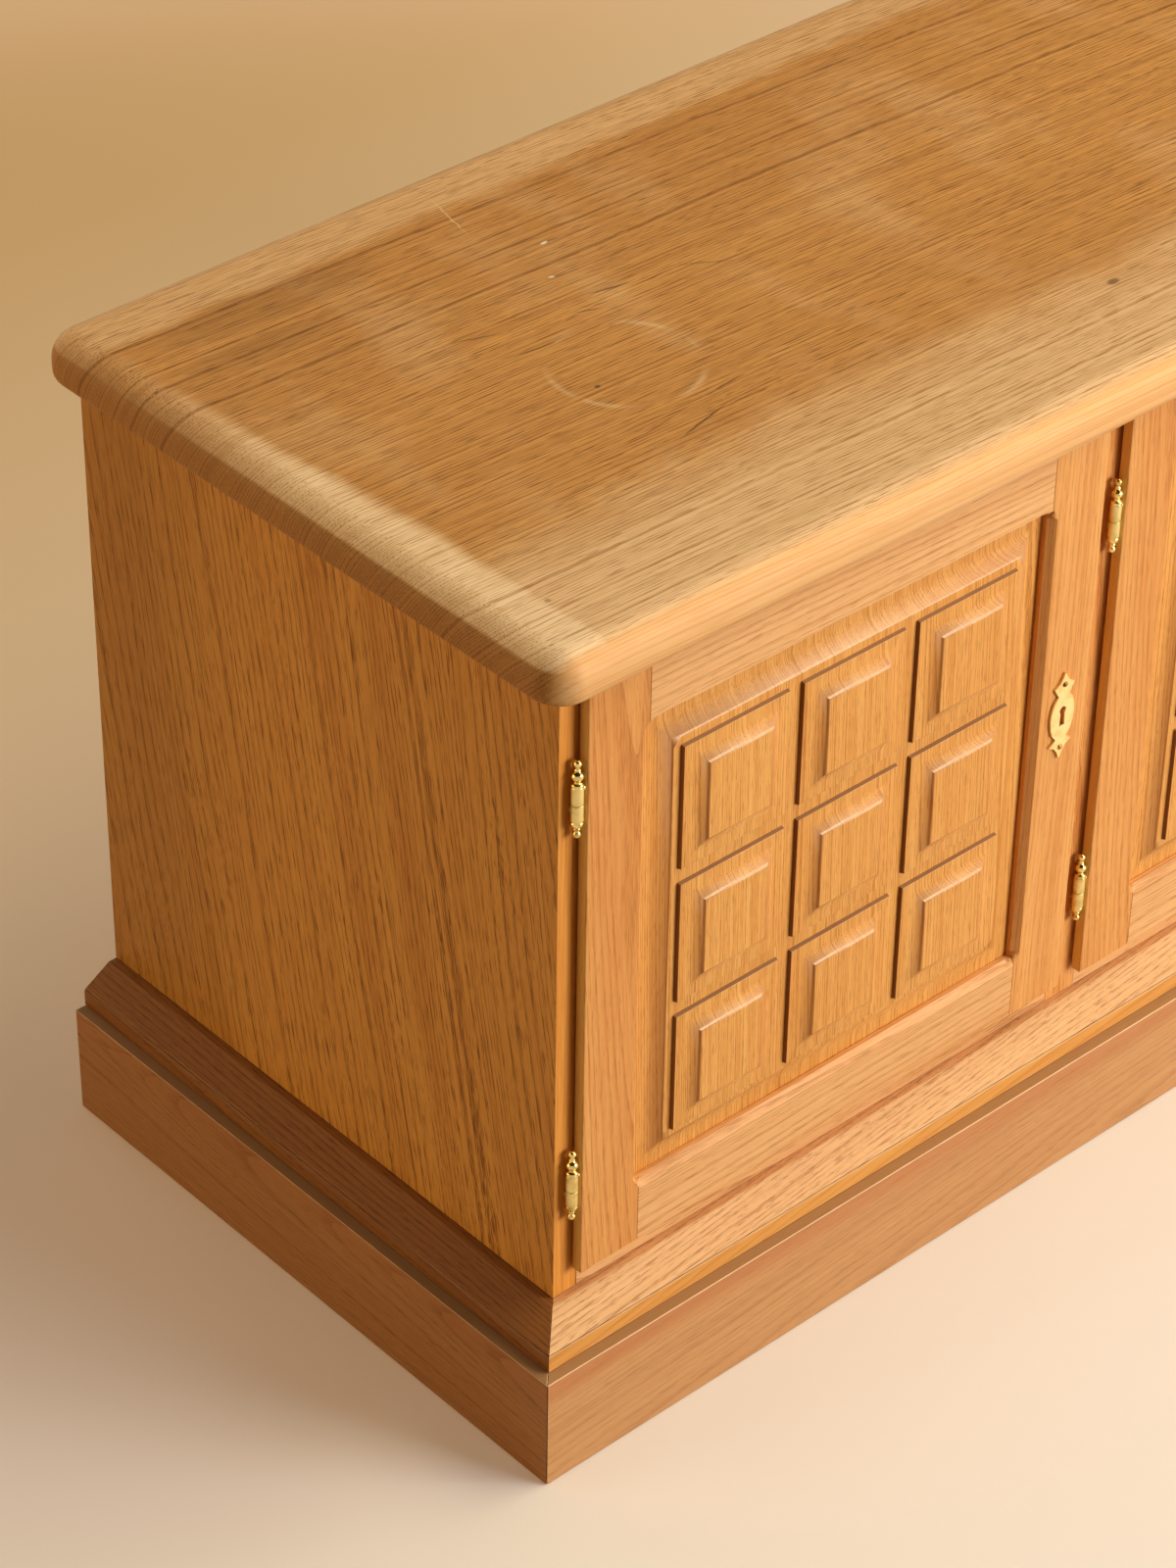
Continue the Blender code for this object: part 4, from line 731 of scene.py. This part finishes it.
for half, outline, tip, stem_height, stem_turn in (
    ("door", upper, 0, 10.5, (0, 90, 0)),
    ("fixed", lower, 180, -6.5, (-90, 0, 0)),
):
    body = turned((3.9, 0.3), outline)
    body.rotation_euler.x = math.radians(tip)
    body.location.z = math.copysign(HALF_SEAM, stem_height)
    screw = turned((1.7, 0.3), stem, sides=16)
    screw.rotation_euler = [math.radians(angle) for angle in stem_turn]
    screw.location.z = stem_height / 1000
    alone(body)
    screw.select_set(True)
    bpy.ops.object.transform_apply(location=True, rotation=True, scale=True)
    bpy.ops.object.join()
    clean_shading(body)
    body.data.materials.append(SATIN_BRASS)
    body.data.materials.append(POLISHED_BRASS)
    for face in body.data.polygons:
        off_axis = math.hypot(face.center.x, face.center.y) * 1000
        face.material_index = 0 if abs(face.center.z) < KNUCKLE_END and off_axis > KNUCKLE_SKIN else 1
    halves[half] = body
for number, hand in ((1, 1), (2, 1), (3, -1)):
    for height in ("top", "low"):
        low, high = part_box(f"door_{number}_hinge_{height}_door_half")
        axis_x = low.x + KNUCKLE / 1000 if hand == 1 else high.x - KNUCKLE / 1000
        seam = Matrix.Translation((axis_x, (low.y + high.y) / 2, low.z - HALF_SEAM))
        for half, pattern in halves.items():
            node = f"door_{number}_hinge_{height}_{half}_half"
            turned_round = Matrix.Rotation(math.pi if half == "door" and hand == -1 else 0, 4, "Z")
            piece = copied(pattern, f"{node}.brass", seam @ turned_round)
            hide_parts(node)
            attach(piece, f"door_{number}" if half == "door" else "carcass")
for pattern in halves.values():
    bpy.data.objects.remove(pattern)

# Keyhole plates: sawn from sheet brass, flat, with filed edges, and held by two small round-headed nails.
# The lock behind is a plain steel cut lock, and its bolt shoots into a brass strike plate in the upright.
PLATE_BRASS = handled_metal("sheet_brass", "#f8dc9c", "#eac987", gloss=0.46, grit=0.10)
LOCK_STEEL = handled_metal("lock_steel", "#8d8a84", "#6a655d", gloss=0.3, grit=0.2)
NAIL_BRASS = handled_metal("nail_brass", "#b98a48", "#6b4620", gloss=0.2, grit=0.2)
NAIL_HEIGHTS = (("upper", 0.0261), ("lower", -0.0256))
NAIL_SINK = 0.0001
nail = turned((2.0, 0.1), [(2.1, 0.3), (2.0, 0.7), (1.6, 1.1), (1.0, 1.4), (0.3, 1.5)], sides=20)
nail.rotation_euler.x = math.radians(90)
alone(nail)
bpy.ops.object.transform_apply(location=True, rotation=True, scale=True)
clean_shading(nail)
nail.data.materials.append(NAIL_BRASS)
for number in (1, 2, 3):
    plate = eased(f"door_{number}_escutcheon", arris=0.3, kind="brass", shortest=1.0)
    plate.data.materials.append(PLATE_BRASS)
    low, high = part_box(f"door_{number}_escutcheon")
    for name, height in NAIL_HEIGHTS:
        centre = ((low.x + high.x) / 2, low.y + NAIL_SINK, (low.z + high.z) / 2 + height)
        pin = copied(nail, f"door_{number}_plate_nail_{name}.brass", Matrix.Translation(centre))
        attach(pin, f"door_{number}")
    strike = eased(f"strike_plate_{number}", arris=0.3, kind="brass", shortest=3)
    strike.data.materials.append(PLATE_BRASS)
    for node in (f"door_{number}_lock_case", f"door_{number}_lock_bolt"):
        lock = eased(node, arris=0.4, kind="steel", shortest=3)
        lock.data.materials.append(LOCK_STEEL)
bpy.data.objects.remove(nail)

# Screws: round-headed steel wood screws with one slot, four in each lock case and a row round the back panel.
# They hold the locks in their recesses, and draw the thin back against the sides, uprights and bottom board.
SCREW_PITCH = 0.22
SCREW_INSET = 0.0055
SCREW_FOOT = 0.012
SCREW_ROWS = (0.12, 0.37, 0.63, 0.88)
SCREW_TURN = 47
SLOT_SIZE = (0.0008, 0.008, 0.0018)
SLOT_HEIGHT = 0.0021
LOCK_SCREW_INSET = 0.006
screw = turned((3.1, 0.1), [(3.2, 0.4), (3.0, 0.9), (2.4, 1.5), (1.5, 1.9), (0.5, 2.05)], sides=24)
bpy.ops.mesh.primitive_cube_add(size=1, location=(0, 0, SLOT_HEIGHT), scale=SLOT_SIZE)
slot_cutter = bpy.context.object
alone(screw)
bpy.ops.object.modifier_add(type="BOOLEAN")
screw.modifiers[-1].object = slot_cutter
screw.modifiers[-1].operation = "DIFFERENCE"
bpy.ops.object.modifier_apply(modifier=screw.modifiers[-1].name)
bpy.data.objects.remove(slot_cutter)
screw.rotation_euler.x = math.radians(-90)
bpy.ops.object.transform_apply(location=True, rotation=True, scale=True)
clean_shading(screw)
screw.data.materials.append(LOCK_STEEL)
places = []
low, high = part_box("back_panel")
uprights = [sum(corner.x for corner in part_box(node)) / 2 for node in ("divider_left", "divider_right")]
for screw_x in (low.x + SCREW_INSET, *uprights, high.x - SCREW_INSET):
    for part in SCREW_ROWS:
        places.append(("back_screw", "carcass", (screw_x, high.y, low.z + (high.z - low.z) * part)))
runs = round((high.x - low.x) / SCREW_PITCH)
for run in range(runs):
    screw_x = low.x + (high.x - low.x) * (run + 0.5) / runs
    places.append(("back_screw", "carcass", (screw_x, high.y, low.z + SCREW_FOOT)))
for number in (1, 2, 3):
    low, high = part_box(f"door_{number}_lock_case")
    for screw_x in (low.x + LOCK_SCREW_INSET, high.x - LOCK_SCREW_INSET):
        for screw_z in (low.z + LOCK_SCREW_INSET, high.z - LOCK_SCREW_INSET):
            places.append(("lock_screw", f"door_{number}", (screw_x, high.y, screw_z)))
for number, (name, body, place) in enumerate(places, 1):
    turn = Matrix.Rotation(math.radians(SCREW_TURN * number), 4, "Y")
    piece = copied(screw, f"{name}_{number}.steel", Matrix.Translation(place) @ turn)
    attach(piece, body)
bpy.data.objects.remove(screw)

# Floor, light and camera: a pale paper floor, one large soft light from the front right,
# a weak one above, and warm light back from the walls.
BACKDROP = "#e0d5c5"
PAPER_NEAR = "#e5e7ec"
# The darker, warmer tone away from the camera is painted falloff of the light
PAPER_AWAY_FALLOFF = "#cbb188"
PAPER_UNSEEN = "#8f8375"
WARM_GLOW = "#ffbf86"
DIM_ROOM = "#27221a"
FLOOR_RADIUS = 14
FLOOR_DROP = 0.0002
bpy.ops.object.select_all(action="DESELECT")
bpy.ops.mesh.primitive_circle_add(
    vertices=96, radius=FLOOR_RADIUS, fill_type="NGON", location=(0, 0, -FLOOR_DROP)
)
floor = bpy.context.object
floor.name = "studio_floor"
bpy.ops.object.transform_apply(location=True, rotation=True, scale=True)
# Matt background paper, with no gloss and no grain that shows, cooler near the camera than away from it,
# where it darkens and warms as painted falloff of the light
paper = bpy.data.materials.new("studio_paper")
paper.use_nodes = True
tree = paper.node_tree
shader = tree.nodes["Principled BSDF"]
shader.inputs["Roughness"].default_value = 0.9
shader.inputs["Specular IOR Level"].default_value = 0.15
place = add(tree, "TexCoord").outputs["Object"]
spot = add(tree, "SeparateXYZ", {0: place})
away = add(tree, "MapRange", {"Value": spot.outputs[1], "From Min": -0.4, "From Max": 1.3}).outputs[0]
tint = add(tree, "Mix", {0: away, 6: linear(PAPER_NEAR), 7: linear(PAPER_AWAY_FALLOFF)}, data_type="RGBA").outputs[2]


def looked_at(tree):
    """What the eye sees, also in a mirror or through glass, and not what light only bounces off."""
    ray = add(tree, "LightPath").outputs
    direct = {0: ray["Is Camera Ray"], 1: ray["Is Glossy Ray"]}
    seen = add(tree, "Math", direct, operation="MAXIMUM").outputs[0]
    return add(tree, "Math", {0: seen, 1: ray["Is Transmission Ray"]}, operation="MAXIMUM").outputs[0]


# Pale to the camera and in reflections, but dull to the light, so that it doesn't light the object from below
seen = looked_at(tree)
# Far from the object the paper runs up into the backdrop, and is the same pale tone from every side
level = add(tree, "VectorMath", {0: place, 1: (-0.5, 0.2, 0)}, operation="DISTANCE").outputs["Value"]
far = {"Value": level, "From Min": 1.35, "From Max": 2.4}
far = add(tree, "MapRange", far, interpolation_type="SMOOTHSTEP").outputs[0]
tint = add(tree, "Mix", {0: far, 6: tint, 7: linear("#000000")}, data_type="RGBA").outputs[2]
tint = add(tree, "Mix", {0: seen, 6: linear(PAPER_UNSEEN), 7: tint}, data_type="RGBA").outputs[2]
tree.links.new(tint, shader.inputs["Base Color"])
glow = add(tree, "MapRange", {"Value": far, "To Min": 0.15, "To Max": 1.0}).outputs[0]
glow = add(tree, "Math", {0: glow, 1: seen}, operation="MULTIPLY").outputs[0]
tree.links.new(glow, shader.inputs["Emission Strength"])
glow = add(tree, "Mix", {0: far, 6: linear(WARM_GLOW), 7: linear(BACKDROP)}, data_type="RGBA").outputs[2]
tree.links.new(glow, shader.inputs["Emission Color"])
floor.data.materials.append(paper)
floor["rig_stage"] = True

world = bpy.data.worlds.new("studio")
world.use_nodes = True
tree = world.node_tree
sky = tree.nodes["Background"]
# A warm dim room, with the backdrop standing round it as high as the eye
seen = looked_at(tree)
height = add(tree, "SeparateXYZ", {0: add(tree, "TexCoord").outputs["Generated"]}).outputs[2]
backdrop = {"Value": height, "From Min": 0.25, "From Max": 0.55, "To Min": 1.0, "To Max": 0.0}
backdrop = add(tree, "MapRange", backdrop, interpolation_type="SMOOTHSTEP").outputs[0]
backdrop = add(tree, "Math", {0: backdrop, 1: seen}, operation="MULTIPLY").outputs[0]
tone = add(tree, "Mix", {0: backdrop, 6: linear(DIM_ROOM), 7: linear(BACKDROP)}, data_type="RGBA").outputs[2]
tree.links.new(tone, sky.inputs["Color"])
bpy.context.scene.world = world
# Each lamp's name, place, aim, breadth in metres, power in watts and colour
for name, place, aim, size, power, colour in (
    ("key", (1.92, -4.00, 1.41), (-0.3, 0, 0.35), 2.4, 194, (1.0, 0.97, 0.95)),
    ("high", (1.60, -1.20, 3.70), (-0.3, 0, 0.4), 2.4, 98, (1.0, 0.84, 0.52)),
    ("above", (-0.30, 0.60, 4.00), (-0.2, 0.2, 0.4), 3.2, 26, (0.92, 1.0, 0.95)),
    ("wall_left", (-3.60, 1.45, 1.05), (-0.7, 0, 0.3), 2.4, 46, (1.0, 0.65, 0.26)),
    ("wall_back", (-0.60, 4.00, 1.50), (0, 0.2, 0.3), 2.0, 24, (1.0, 0.80, 0.55)),
):
    bpy.ops.object.light_add(type="AREA", location=place)
    lamp = bpy.context.object
    lamp.name = "light_" + name
    lamp.data.size = size
    lamp.data.energy = power
    lamp.data.color = colour
    lamp.visible_camera = False
    lamp.rotation_euler = (Vector(aim) - Vector(place)).to_track_quat("-Z", "Y").to_euler()

# The camera looks down on the front left corner, as the picture does, with a long lens and no shift
CAMERA_PLACE = (-2.1866, -1.8588, 2.1737)
CAMERA_TURN = (53.322, -0.720, -41.9015)
CAMERA_LENS = 104.75
bpy.ops.object.camera_add(location=CAMERA_PLACE, rotation=[math.radians(angle) for angle in CAMERA_TURN])
camera = bpy.context.object
camera.data.lens = CAMERA_LENS
camera.data.sensor_width = 36
bpy.context.scene.camera = camera
bpy.context.scene.view_settings.view_transform = "Standard"

low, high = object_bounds()
